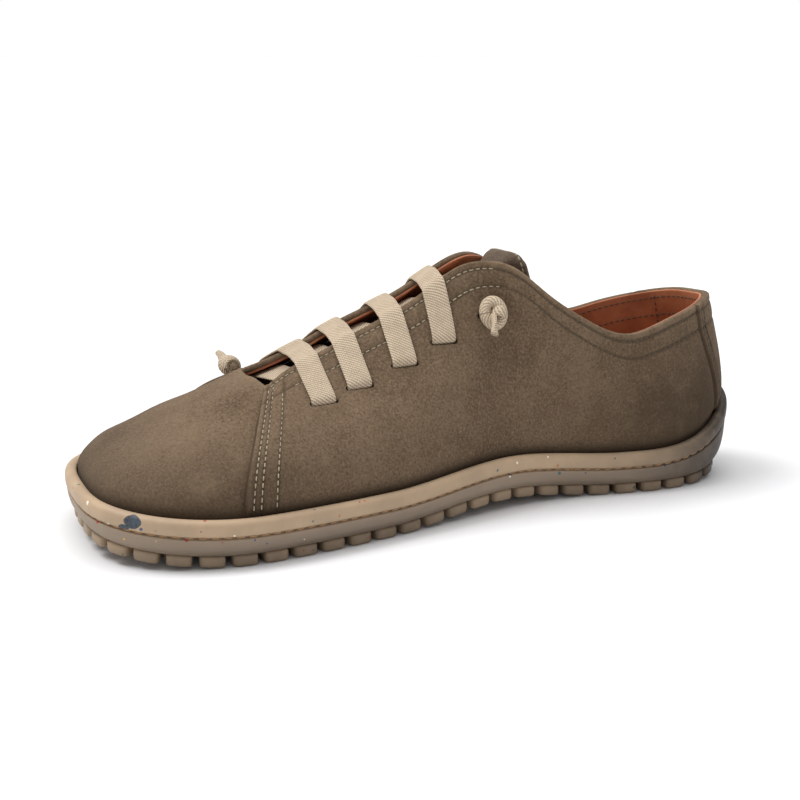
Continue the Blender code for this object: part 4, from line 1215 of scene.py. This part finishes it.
def tongue_row(along, narrow, sag=1.0, crown=0.0, flare=0.0):
    """The tongue's outer points at one place along the throat, medial to lateral.

    With a flare, the points near its sides reach on along the collar.
    """
    wide = np.array([0.56, 0.66, 0.78, 0.89, 0.97])
    room = LACE_THICKNESS + 2 * LACE_CLEARANCE + FIT
    drops = np.array([2 * FIT, room, room, room, room])
    change = crown * np.array([0, 0, 0.12, 0.45, 0.85]) - sag * TONGUE_SAG * np.array([0, 0, 0, 0.35, 1.0])
    up = 1 - (1 - wide) * narrow
    rows = []
    for side in ("medial", "lateral"):
        turn = throat_turn(side, along + flare * np.array([1.0, 0.85, 0.55, 0.25, 0.06]))
        rows.append(off_last(turn, up, -(WALL + drops)) + change[:, None] * [0, 0, 1])
    middle = 0.5 * (rows[0][-1] + rows[1][-1]) + np.array([0, 0, 0.15 * crown])
    return np.concatenate([rows[0], middle[None], rows[1][::-1]])


def resample(points, count, axis):
    """A smooth row of points: a Catmull-Rom curve through them, at even shares."""
    points = np.moveaxis(np.asarray(points, float), axis, 0)
    last = len(points) - 1
    place = np.linspace(0, last, count)
    k = np.clip(place.astype(int), 0, last - 1)
    t = (place - k).reshape((-1,) + (1,) * (points.ndim - 1))
    before = points[np.clip(k - 1, 0, last)]
    here, there = points[k], points[k + 1]
    after = points[np.clip(k + 2, 0, last)]
    curve = 0.5 * (2 * here + (there - before) * t + (2 * before - 5 * here + 4 * there - after) * t ** 2
                   + (3 * here - before - 3 * there + after) * t ** 3)
    return np.moveaxis(curve, 0, axis)


# The tongue's last stations: along the throat, narrowing, sag, crown and flare.
TONGUE_TOP = [
    (0.89, 0.95, 1.0, 0.0, 0.0),
    (0.965, 0.92, 1.0, 0.0, 0.0),
    (1.01, 0.88, 0.50, 0.0026, 0.02),
    (1.05, 0.86, 0.10, 0.0056, 0.06),
    (1.09, 0.84, 0.0, 0.0074, 0.11),
]


def make_tongue(leather, thread):
    """The tongue: the solid's rows made smooth, a rounded edge, and a row of thread."""
    stations = [tongue_row(along, 1.0) for along in (0.06, 0.2, 0.35, 0.5, 0.65, 0.8)]
    stations += [tongue_row(*row) for row in TONGUE_TOP]
    front = stations[0] + (stations[0] - stations[1]) * 0.8
    front[:, 2] -= 0.001
    stations.insert(0, front)
    grid = resample(resample(np.array(stations), 90, 0), 70, 1)
    normal = unit(np.cross(np.gradient(grid, axis=1), np.gradient(grid, axis=0)))
    normal = normal * np.sign(normal[..., 2].mean())
    rows, columns = grid.shape[:2]
    r = np.minimum(np.arange(rows), rows - 1 - np.arange(rows))[:, None]
    c = np.minimum(np.arange(columns), columns - 1 - np.arange(columns))[None, :]
    edge = np.minimum(r * 1.2, c * 1.3)
    thin = np.sqrt(np.clip(1 - (1 - np.clip(edge / 2.5, 0, 1)) ** 2, 0.02, 1))
    middle = grid - normal * TONGUE_THICKNESS / 2
    outer = middle + normal * (thin * TONGUE_THICKNESS / 2)[..., None]
    inner = middle - normal * (thin * TONGUE_THICKNESS / 2)[..., None]
    count = rows * columns
    one = grid_faces(rows, columns, closed_columns=False)
    border = np.concatenate([np.arange(columns), np.arange(1, rows) * columns + columns - 1,
                             (rows - 1) * columns + np.arange(columns - 2, -1, -1),
                             np.arange(rows - 2, 0, -1) * columns])
    after = np.roll(border, -1)
    sides = np.stack([border, after, after + count, border + count], axis=1)
    points = np.concatenate([outer.reshape(-1, 3), inner.reshape(-1, 3)])
    faces = np.concatenate([one, one[:, ::-1] + count, sides])
    weld(mesh_piece("tongue_leather", points, faces, leather, ["tongue"]))
    row = (resample(outer[-5, 4:-4], 120, 0), resample(normal[-5, 4:-4], 120, 0))
    points, faces = stitch_mesh([row], STITCH_PITCH, STITCH_LENGTH, STITCH_RADIUS)
    mesh_piece("tongue_thread", points, faces, thread, [])


def ribbon_mesh(points, across, width, thickness):
    """A flat lace along a line: an oval section with full sides, and its UV in metres."""
    run = run_along(points)
    tangent = unit(np.gradient(points, run, axis=0))
    across = unit(across)
    across = across / np.linalg.norm(np.cross(across, tangent), axis=1, keepdims=True)
    thick = unit(np.cross(tangent, across))
    x, z = oval(np.linspace(0, 2 * math.pi, 28, endpoint=False), *LACE_OVAL)
    rings = (points[:, None] + across[:, None] * (x * width / 2)[None, :, None]
             + thick[:, None] * (z * thickness / 2)[None, :, None])
    uv = np.stack(np.broadcast_arrays(run[:, None], (x * width / 2)[None, :]), axis=-1)
    return rings.reshape(-1, 3), tube_faces(*rings.shape[:2]), uv.reshape(-1, 2)


def softened(rows, width):
    """Rows mixed with their neighbours by a bell as wide as so many rows."""
    reach = int(3 * width)
    weights = np.exp(-0.5 * (np.arange(-reach, reach + 1) / width) ** 2)
    weights /= weights.sum()
    padded = np.pad(rows, ((reach, reach), (0, 0)), mode="edge")
    return np.stack([np.convolve(values, weights, "valid") for values in padded.T], axis=1)


def make_lace(material):
    """The threaded lace, along the solid's route made smooth."""
    points, widths = lace_path()
    for k in range(1, len(widths)):
        if widths[k] @ widths[k - 1] < 0:
            widths[k] = -widths[k]
    count = int(run_along(points)[-1] / LACE_STEP)
    fine, fine_width = (resample(rows, 12 * len(points), 0) for rows in (points, widths))
    run = run_along(fine)
    even = np.linspace(0, run[-1], count)
    path = softened(rows_at(even, run, fine), 2.0)
    across = softened(unit(rows_at(even, run, fine_width)), 4.5)
    grid, faces, uv = ribbon_mesh(path, across, LACE_WIDTH, LACE_THICKNESS)
    mesh_piece("lace_band", grid, faces, material, ["lace"], uv=uv)


def knot_axes(slit):
    """A knot's middle, and its axes along the slit, away from the throat and outwards."""
    centre = slit_frame(slit)[2]
    way, along, normal = slit_axes(slit, bar_partner(slit))
    middle = centre + normal * (KNOT_HEIGHT / 2 + LACE_CLEARANCE)
    return middle, np.array([along, -way, normal])


def rope_mesh(points, outs, wide, tall, closed=False):
    """A thick oval strand along a line, its section turned by the given outward ways."""
    run = run_along(points)
    if closed:
        tangent = unit(np.roll(points, -1, axis=0) - np.roll(points, 1, axis=0))
    else:
        tangent = unit(np.gradient(points, axis=0))
    out = unit(outs - np.sum(outs * tangent, axis=1, keepdims=True) * tangent)
    side = np.cross(tangent, out)
    angle = np.linspace(0, 2 * math.pi, 22, endpoint=False)
    x, z = oval(angle, *STRAND_OVAL)
    rings = (points[:, None] + side[:, None] * (x * wide)[None, :, None]
             + out[:, None] * (z * tall)[None, :, None])
    uv = np.stack(np.broadcast_arrays(run[:, None], (angle * 0.5 * (wide + tall))[None, :]), axis=-1)
    return rings.reshape(-1, 3), tube_faces(*rings.shape[:2], closed), uv.reshape(-1, 2)


# The knots' strands, as half width and half height, the loop's ring, and the coil.
STRANDS = {"loop": (0.0023, 0.0028), "lap": (0.0021, 0.0009), "loop end": (0.0016, 0.0010),
           "coil": (0.00125, 0.00095), "core": (0.0024, 0.0024), "coil end": (0.0019, 0.0011),
           "neck": (0.0030, 0.0012)}
RING = (0.0027, 0.0038, 0.0002)
COIL_LAPS = 5.2
COIL_LENGTH = 0.0094
COIL_RADIUS = 0.0030
COIL_TAPER = 0.22


def tail_line(length, first, last):
    """The CAD's curve of a lace's short end, in the knot's axes."""
    first, last = unit(np.array(first)), unit(np.array(last))
    half = np.array([KNOT_LENGTH, KNOT_WIDTH, KNOT_HEIGHT]) / 2
    start = KNOT_SWELL * np.linalg.norm(first * half) + LACE_CLEARANCE
    share = np.linspace(0, 1, 6)[:, None]
    return first * (start + share * length) + (last - first) * share ** 2 * length / 2


def loop_knot(tail):
    """The top knot in its own axes: a fat loop, a lap over it, and an end out of its middle."""
    t = np.linspace(0, 2 * math.pi, 64, endpoint=False)
    ring = np.stack([np.cos(t), np.sin(t), np.sin(2 * t)], axis=1) * RING
    up = np.tile([0, 0, 1.0], (len(t), 1))
    lean = up + 0.55 * ring / 0.0036
    parts = [rope_mesh(ring, lean, *STRANDS["loop"], closed=True)]
    lap = resample([[-0.0041, 0.0006, -0.0008], [-0.0039, 0.0004, 0.0022], [-0.0022, -0.0002, 0.0034],
                    [-0.0005, -0.0006, 0.0022], [0.0005, -0.0004, -0.0012]], 30, 0)
    parts.append(rope_mesh(lap, lap * [1, 1, 0] + [0.0002, 0, 0.003], *STRANDS["lap"]))
    twist = resample([[0.0002, 0.0006, -0.0020], [0.0004, 0.0010, 0.0008], [0.0008, 0.0016, 0.0030],
                      *tail_line(*tail)[1:]], 48, 0)
    angle = np.linspace(0, 2.6, len(twist))
    outs = np.stack([np.sin(angle), np.zeros(len(twist)), np.cos(angle)], axis=1)
    parts.append(rope_mesh(twist, outs, *STRANDS["loop end"]))
    return parts


def barrel_knot(tail):
    """The bottom knot in its own axes: five laps round a core, which the end runs out of."""
    axis = unit(np.array([0.25, 0.85, 0.30]))
    side = unit(np.cross([0, 0, 1.0], axis))
    rise = np.cross(axis, side)
    t = np.linspace(0, COIL_LAPS * 2 * math.pi, 260)
    bulge = 1.0 - COIL_TAPER * (2 * t / t[-1] - 1) ** 2
    ways = side * np.cos(t)[:, None] + rise * np.sin(t)[:, None]
    coil = axis * ((t / t[-1] - 0.5) * COIL_LENGTH)[:, None] + ways * (COIL_RADIUS * bulge)[:, None]
    parts = [rope_mesh(coil, ways, *STRANDS["coil"])]
    core = np.linspace(-0.0050, 0.0050, 12)[:, None] * axis
    parts.append(rope_mesh(core, np.tile(rise, (12, 1)), *STRANDS["core"]))
    end = resample([0.0030 * axis, 0.0050 * axis, *tail_line(*tail)], 48, 0)
    angle = np.linspace(0, 2.0, len(end))
    outs = side * np.sin(angle)[:, None] + rise * np.cos(angle)[:, None]
    parts.append(rope_mesh(end, outs, *STRANDS["coil end"]))
    return parts


def knot_neck():
    """The lace where it comes up out of its slit, under a knot."""
    line = np.array([[0, 0, -0.0038], [0, 0, -0.0020], [0, 0.0002, 0.0]])
    return rope_mesh(line, np.tile([0, 1.0, 0], (3, 1)), *STRANDS["neck"])


def join_parts(parts):
    """Several (points, faces, uv) as one."""
    points, faces, uvs, start = [], [], [], 0
    for part_points, part_faces, uv in parts:
        points.append(part_points)
        uvs.append(uv)
        faces += [[start + v for v in face] for face in part_faces]
        start += len(part_points)
    return np.concatenate(points), faces, np.concatenate(uvs)


def make_knots(material):
    """The two knots, tied of the lace, each with its short end."""
    knots = (("knot_top", "medial knot", loop_knot, (0.0085, (0.2, 0.5, 0.9), (0.3, 0.9, 0.5)),
              ["lace_knot_top", "lace_end_top"]),
             ("knot_bottom", "lateral knot", barrel_knot, (0.0130, (0.2, 0.8, 0.6), (0.5, 0.9, 0.1)),
              ["lace_knot_bottom", "lace_end_bottom"]))
    for name, slit, tie, tail, nodes in knots:
        middle, axes = knot_axes(slit)
        points, faces, uv = join_parts(tie(tail) + [knot_neck()])
        weld(mesh_piece(name, middle + points @ axes, faces, material, nodes, uv=uv))


def shade(colour, share):
    """A colour made lighter or darker by a share."""
    return tuple(share * c for c in colour)


class Finish:
    """A procedural material that is built up from nodes by short calls."""

    def __init__(self, name, roughness, specular=0.5):
        """A material with its shader, and a node of coordinates."""
        self.material = bpy.data.materials.new(name)
        self.material.use_nodes = True
        self.tree = self.material.node_tree
        self.shader = self.tree.nodes["Principled BSDF"]
        self.shader.inputs["Roughness"].default_value = roughness
        self.shader.inputs["Specular IOR Level"].default_value = specular
        self.place = self.tree.nodes.new("ShaderNodeTexCoord")

    def node(self, kind, settings=None, **sockets):
        """A node of a kind with its settings, and what feeds its sockets."""
        made = self.tree.nodes.new(kind)
        for key, value in (settings or {}).items():
            setattr(made, key, value)
        for key, value in sockets.items():
            self.feed(made.inputs[key.replace("_", " ")], value)
        return made

    def feed(self, socket, value):
        """Link a socket to another node's output, or set it to a number or colour."""
        if isinstance(value, bpy.types.NodeSocket):
            self.tree.links.new(value, socket)
        elif isinstance(value, tuple) and len(value) == 3 and socket.type == "RGBA":
            socket.default_value = (*value, 1.0)
        else:
            socket.default_value = value

    def noise(self, scale, detail=3.0, roughness=0.55, stretch=None):
        """Fractal noise with so many cells in a metre, stretched if wanted."""
        where = self.place.outputs["Object"]
        if stretch:
            where = self.node("ShaderNodeMapping", None, Vector=where, Scale=stretch).outputs[0]
        return self.node("ShaderNodeTexNoise", None, Vector=where, Scale=scale, Detail=detail,
                         Roughness=roughness).outputs["Fac"]

    def levels(self, value, low, high, to_low=0.0, to_high=1.0):
        """A soft step of a value from low to high, brought to the new levels."""
        made = self.node("ShaderNodeMapRange", {"interpolation_type": "SMOOTHSTEP"}, Value=value)
        for key, number in (("From Min", low), ("From Max", high), ("To Min", to_low), ("To Max", to_high)):
            made.inputs[key].default_value = number
        return made.outputs[0]

    def sum(self, operation, first, second, third=None):
        """One operation on two or three values."""
        made = self.node("ShaderNodeMath", {"operation": operation})
        for k, value in enumerate((first, second, third)):
            if value is not None:
                self.feed(made.inputs[k], value)
        return made.outputs[0]

    def times(self, first, second):
        """The product of two values."""
        return self.sum("MULTIPLY", first, second)

    def axes(self, kind="Object"):
        """The X, Y and Z of a kind of coordinates."""
        return self.node("ShaderNodeSeparateXYZ", None, Vector=self.place.outputs[kind]).outputs

    def blend(self, share, low, high):
        """A colour between two: the low one at a share of 0, the high one at 1."""
        made = self.node("ShaderNodeMix", {"data_type": "RGBA"})
        for socket, value in ((made.inputs[0], share), (made.inputs[6], low), (made.inputs[7], high)):
            self.feed(socket, value)
        return made.outputs[2]

    def spot(self, place, size, turn=(0.0, 0.0, 0.0)):
        """1 at a place and 0 outside an ellipsoid of a size and turn round it."""
        inside = self.node("ShaderNodeMapping", {"vector_type": "TEXTURE"},
                           Vector=self.place.outputs["Object"], Location=place, Rotation=turn, Scale=size)
        away = self.node("ShaderNodeVectorMath", {"operation": "LENGTH"})
        self.feed(away.inputs[0], inside.outputs[0])
        return self.levels(away.outputs["Value"], 1.0, 0.0)

    def attribute(self, name):
        """A mask that the mesh carries."""
        return self.node("ShaderNodeAttribute", {"attribute_name": name}).outputs["Fac"]

    def bump(self, height, distance, strength=1.0, before=None):
        """A normal tilted by a height's slope, on top of an earlier one."""
        made = self.node("ShaderNodeBump", None, Height=height, Distance=distance, Strength=strength)
        if before is not None:
            self.feed(made.inputs["Normal"], before)
        return made.outputs[0]

    def finish(self, colour, normal=None, **sockets):
        """Feed the shader its colour, normal and other sockets, and give the material."""
        self.feed(self.shader.inputs["Base Color"], colour)
        if normal is not None:
            self.feed(self.shader.inputs["Normal"], normal)
        for key, value in sockets.items():
            self.feed(self.shader.inputs[key.replace("_", " ")], value)
        return self.material


# Pale marks on the suede: place, half sizes and turn, and how much they show.
MARKS = [
    ((0.0487, -0.0952, 0.0277), (0.0085, 0.0085, 0.0075), (0.0, 0.0, 0.0), 1.0),
    ((0.0221, -0.0030, 0.0567), (0.0060, 0.0048, 0.0007), (0.35, 0.0, 0.0), 0.75),
    ((0.0230, 0.0560, 0.0450), (0.012, 0.009, 0.022), (0.0, 0.0, 0.0), 0.35),
    ((0.0300, -0.1010, 0.0370), (0.026, 0.030, 0.016), (0.0, 0.0, 0.0), 0.30),
    ((-0.0300, -0.0900, 0.0330), (0.014, 0.012, 0.010), (0.0, 0.0, 0.0), 0.45),
    ((-0.0330, 0.0700, 0.0400), (0.010, 0.010, 0.020), (0.0, 0.0, 0.0), 0.35),
]


def suede_finish(name, dark, middle, pale, masked):
    """Brushed suede: slow clouds, brushed patches, nap, paler worn edges, painted shade in hollows and low on
    the toe and heel, with dirt on the heel.
    """
    suede = Finish(name, 0.95, 0.12)
    clouds = suede.levels(suede.noise(24, 4.0, 0.6), 0.36, 0.66)
    patches = suede.levels(suede.noise(70, 5.0, 0.68), 0.35, 0.68)
    brushed = suede.levels(suede.noise(90, 4.0, 0.6, (1.0, 1.0, 0.22)), 0.40, 0.72)
    nap = suede.noise(1050, 4.0, 0.80)
    colour = suede.blend(clouds, dark, middle)
    colour = suede.blend(suede.times(patches, 0.42), colour, pale)
    colour = suede.blend(suede.times(brushed, 0.28), colour, pale)
    colour = suede.blend(suede.levels(nap, 0.50, 0.68, 0.0, 0.72), colour, shade(pale, 1.25))
    colour = suede.blend(suede.levels(nap, 0.50, 0.34, 0.0, 0.62), colour, shade(dark, 0.55))
    if masked:
        for place, size, turn, shown in MARKS:
            mark = suede.times(suede.spot(place, size, turn),
                             suede.levels(suede.noise(330, 4.0, 0.7), 0.30, 0.66, 0.15 * shown, shown))
            colour = suede.blend(mark, colour, shade(pale, 1.3))
        where = suede.axes()
        # Painted shade: darker in the troughs, below the panels' steps and at the foot.
        colour = suede.blend(suede.times(suede.attribute("painted_shade"), 0.72), colour, shade(dark, 0.30))
        worn = suede.times(suede.attribute("worn_edge"), suede.levels(patches, 0.1, 0.9, 0.10, 0.45))
        colour = suede.blend(worn, colour, shade(pale, 1.3))
        # Darker low on the heel: partly dirt, partly painted shade.
        heel = suede.levels(where["Y"], 0.020, 0.125)
        foot = suede.levels(where["Z"], 0.082, 0.030)
        grime_and_shade = suede.times(suede.times(heel, foot), 0.86)
        grime_and_shade = suede.times(grime_and_shade, suede.levels(suede.noise(120, 4.0, 0.65), 0.25, 0.55, 0.55, 1.0))
        colour = suede.blend(grime_and_shade, colour, shade(dark, 0.42))
        # Painted shade: darker low on the toe's sides, where they face away from the light.
        toe = suede.levels(where["Y"], -0.040, -0.085, 0.12, 0.44)
        low = suede.levels(where["Z"], 0.046, 0.024)
        colour = suede.blend(suede.times(toe, low), colour, shade(dark, 0.40))
    grain = suede.bump(suede.noise(420, 3.0, 0.6), 0.00025, 0.55)
    normal = suede.bump(nap, 0.00022, 0.95, grain)
    return suede.finish(colour, normal, Sheen_Weight=0.10, Sheen_Roughness=0.55,
                        Sheen_Tint=(0.62, 0.52, 0.40))


def leather_finish(name, dark, pale, roughness):
    """Smooth lining leather: slow tone, small pores, a faint shine."""
    leather = Finish(name, roughness, 0.4)
    tone = leather.levels(leather.noise(55, 4.0, 0.6), 0.34, 0.68)
    pores = leather.noise(1300, 2.0, 0.6)
    colour = leather.blend(tone, dark, pale)
    colour = leather.blend(leather.levels(pores, 0.62, 0.78, 0.0, 0.4), colour, shade(dark, 0.5))
    normal = leather.bump(pores, 0.00010, 0.6)
    return leather.finish(colour, normal)


def thread_finish(name, colour):
    """Twisted thread: fine bright and dark turns."""
    thread = Finish(name, 0.75, 0.3)
    twist = thread.noise(2600, 2.0, 0.6)
    turns = thread.blend(thread.levels(twist, 0.3, 0.7), shade(colour, 0.62), colour)
    return thread.finish(turns, thread.bump(twist, 0.00008, 0.6))


# The rubber's crumbs: their colours, and for each size the cells in a metre, the
# crumb's radius in a cell and the share of cells left out.
FLECKS = ((0.36, 0.02, 0.03), (0.02, 0.06, 0.17), (0.85, 0.80, 0.70), (0.80, 0.42, 0.05), (0.02, 0.10, 0.12),
          (0.45, 0.12, 0.04))
FLECK_SIZES = ((150.0, 0.105, 0.45), (290.0, 0.120, 0.55))

# Dark blots on the sole: place and half sizes.
BLOTS = [
    ((0.0466, -0.1185, 0.0172), (0.0050, 0.0042, 0.0034)),
    ((0.0440, -0.1208, 0.0150), (0.0030, 0.0030, 0.0016)),
    ((0.0270, -0.0080, 0.0120), (0.0020, 0.0026, 0.0014)),
    ((-0.0420, -0.1050, 0.0150), (0.0030, 0.0030, 0.0020)),
]


def rubber_finish(name, welt, wall):
    """Moulded rubber with coloured crumbs: painted shade on the wall below the welt, and a heel and underside
    darker with dirt and painted shade.
    """
    rubber = Finish(name, 0.55, 0.40)
    tone = rubber.levels(rubber.noise(60, 3.0, 0.6), 0.3, 0.7)
    # Painted shade: the band mask mixes the welt's own colour to the darker wall colour.
    colour = rubber.blend(rubber.attribute("band"), welt, wall)
    colour = rubber.blend(rubber.times(tone, 0.30), colour, shade(wall, 0.74))
    for scale, size, keep in FLECK_SIZES:
        cells = rubber.node("ShaderNodeTexVoronoi", None, Vector=rubber.place.outputs["Object"], Scale=scale)
        pick = rubber.node("ShaderNodeSeparateColor", None, Color=cells.outputs["Color"])
        wobble = rubber.sum("MULTIPLY_ADD", rubber.noise(1100, 1.0), 0.08, cells.outputs["Distance"])
        inside = rubber.sum("LESS_THAN", wobble, size + 0.04)
        shown = rubber.times(inside, rubber.sum("GREATER_THAN", pick.outputs[1], keep))
        ramp = rubber.node("ShaderNodeValToRGB", None, Fac=pick.outputs[0])
        ramp.color_ramp.interpolation = "CONSTANT"
        for n, fleck in enumerate(FLECKS):
            stop = ramp.color_ramp.elements[n] if n < 2 else ramp.color_ramp.elements.new(n / len(FLECKS))
            stop.position = n / len(FLECKS)
            stop.color = (*fleck, 1.0)
        colour = rubber.blend(rubber.times(shown, 0.85), colour, ramp.outputs[0])
    ragged = rubber.noise(520, 3.0, 0.7)
    for place, size in BLOTS:
        blot = rubber.sum("MULTIPLY_ADD", ragged, 0.5, rubber.spot(place, size))
        blot = rubber.levels(blot, 0.42, 0.54, 0.0, 0.94)
        blot = rubber.times(blot, rubber.levels(rubber.spot(place, size), 0.02, 0.12))
        ink = rubber.blend(rubber.levels(ragged, 0.36, 0.62), (0.006, 0.010, 0.016), (0.030, 0.056, 0.086))
        colour = rubber.blend(blot, colour, ink)
    # Darker at the heel and low down: partly dirt, partly painted shade.
    where = rubber.axes()
    heel = rubber.levels(where["Y"], 0.050, 0.125)
    under = rubber.levels(where["Z"], 0.012, 0.001)
    grime_and_shade = rubber.sum("MAXIMUM", rubber.times(heel, 0.98), rubber.times(under, 0.6))
    grime_and_shade = rubber.times(grime_and_shade, rubber.levels(rubber.noise(150, 4.0, 0.6), 0.3, 0.6, 0.84, 1.0))
    colour = rubber.blend(grime_and_shade, colour, (0.030, 0.021, 0.015))
    grain = rubber.bump(rubber.noise(900, 2.0, 0.6), 0.00006, 0.6)
    return rubber.finish(colour, grain)


# The elastic's weave
RIB_PITCH = 0.00115
YARN_PITCH = 0.00075


def elastic_finish(name, pale, dark):
    """Woven elastic: slanted ribs across the band, crossed by fine yarn."""
    elastic = Finish(name, 0.86, 0.2)
    where = elastic.axes("UV")
    slanted = elastic.sum("MULTIPLY_ADD", where["Y"], 0.75, where["X"])
    rib = elastic.sum("SINE", elastic.times(slanted, 2 * math.pi / RIB_PITCH), 0.0)
    yarn = elastic.sum("SINE", elastic.times(where["Y"], 2 * math.pi / YARN_PITCH), 0.0)
    weave = elastic.sum("MULTIPLY_ADD", yarn, 0.35, rib)
    fuzz = elastic.noise(2200, 2.0, 0.6)
    height = elastic.sum("MULTIPLY_ADD", fuzz, 1.1, weave)
    share = elastic.levels(weave, -1.2, 0.5)
    colour = elastic.blend(share, dark, pale)
    colour = elastic.blend(elastic.levels(elastic.noise(240, 3.0), 0.3, 0.75, 0.0, 0.3), colour, dark)
    return elastic.finish(colour, elastic.bump(height, 0.00014, 0.8))


# The stage: the floor's reach, the camera, the broad suns with where each comes
# from, its strength and its angle across, and a sky from low to high.
FLOOR_REACH = 90.0
CAMERA_PLACE = (0.5010, -0.1964, 0.1637)
CAMERA_AIM = (0.004, -0.010, 0.0395)
CAMERA_LENS = 66.0
CAMERA_SENSOR = 36.0
LIGHTS = {
    "key": ((-0.30, -0.70, 1.25), 1.55, 28.0),
    "top": ((-0.10, -0.05, 1.50), 1.90, 65.0),
}
SKY_LOW = (1.0, 1.0, 1.0)
SKY_HIGH = (0.42, 0.42, 0.43)
SKY_TURN = (0.06, 0.30)


def make_floor():
    """A pale floor, far larger than the shoe."""
    mesh = bpy.data.meshes.new("floor")
    far = FLOOR_REACH
    mesh.from_pydata([(-far, -far, 0), (far, -far, 0), (far, far, 0), (-far, far, 0)], [], [(0, 1, 2, 3)])
    floor = bpy.data.objects.new("floor", mesh)
    bpy.context.collection.objects.link(floor)
    paint = Finish("pale_floor", 0.9, 0.1)
    mesh.materials.append(paint.finish((0.82, 0.82, 0.825)))


def aim(thing, place, target):
    """Put a camera or a lamp at a place and turn its -Z to a target."""
    thing.location = place
    thing.rotation_euler = (Vector(target) - Vector(place)).to_track_quat("-Z", "Y").to_euler()


def make_stage():
    """The camera at the photograph's place, and soft studio light."""
    lens = bpy.data.cameras.new("camera")
    lens.lens, lens.sensor_width, lens.clip_start = CAMERA_LENS, CAMERA_SENSOR, 0.01
    camera = bpy.data.objects.new("camera", lens)
    bpy.context.collection.objects.link(camera)
    aim(camera, CAMERA_PLACE, CAMERA_AIM)
    bpy.context.scene.camera = camera
    for name, (place, strength, across) in LIGHTS.items():
        lamp = bpy.data.lights.new(name, "SUN")
        lamp.energy, lamp.angle = strength, math.radians(across)
        thing = bpy.data.objects.new(name, lamp)
        bpy.context.collection.objects.link(thing)
        aim(thing, place, (0.0, 0.0, 0.0))
    world = bpy.data.worlds.new("studio")
    world.use_nodes = True
    nodes, links = world.node_tree.nodes, world.node_tree.links
    way, height = nodes.new("ShaderNodeTexCoord"), nodes.new("ShaderNodeSeparateXYZ")
    ramp, sky = nodes.new("ShaderNodeMapRange"), nodes.new("ShaderNodeMix")
    sky.data_type = "RGBA"
    ramp.inputs["From Min"].default_value, ramp.inputs["From Max"].default_value = SKY_TURN
    sky.inputs[6].default_value, sky.inputs[7].default_value = (*SKY_LOW, 1), (*SKY_HIGH, 1)
    links.new(way.outputs["Generated"], height.inputs[0])
    links.new(height.outputs["Z"], ramp.inputs["Value"])
    links.new(ramp.outputs[0], sky.inputs[0])
    links.new(sky.outputs[2], nodes["Background"].inputs[0])
    bpy.context.scene.world = world
    bpy.context.scene.view_settings.view_transform = "Standard"


make_stage()
make_floor()
SUEDE = suede_finish("olive_suede", (0.106, 0.070, 0.042), (0.152, 0.103, 0.064), (0.205, 0.144, 0.092), True)
TONGUE_SUEDE = suede_finish("tongue_suede", (0.080, 0.056, 0.040), (0.112, 0.080, 0.058),
                            (0.150, 0.112, 0.082), False)
LINING = leather_finish("rust_lining", (0.36, 0.110, 0.046), (0.52, 0.190, 0.088), 0.5)
FOOTBED = leather_finish("footbed_leather", (0.34, 0.150, 0.070), (0.46, 0.220, 0.110), 0.7)
CREAM = thread_finish("cream_thread", (0.42, 0.36, 0.25))
TONAL = thread_finish("brown_thread", (0.115, 0.088, 0.058))
SOLE_THREAD = thread_finish("sole_thread", (0.44, 0.26, 0.135))
# The second colour is the wall's: the tan rubber darkened as painted shade.
RUBBER = rubber_finish("tan_rubber", (0.455, 0.325, 0.205), (0.272, 0.206, 0.147))
ELASTIC = elastic_finish("beige_elastic", (0.640, 0.520, 0.385), (0.340, 0.260, 0.175))

slits = slit_cutter()
for skin in (make_suede(SUEDE), make_lining(LINING)):
    cut(skin, slits)
bpy.data.objects.remove(slits)
make_stitches(CREAM, TONAL)
make_cup(RUBBER)
make_lugs(RUBBER)
make_sole_stitches(SOLE_THREAD)
make_footbed(FOOTBED)
make_tongue(TONGUE_SUEDE, CREAM)
make_lace(ELASTIC)
make_knots(ELASTIC)
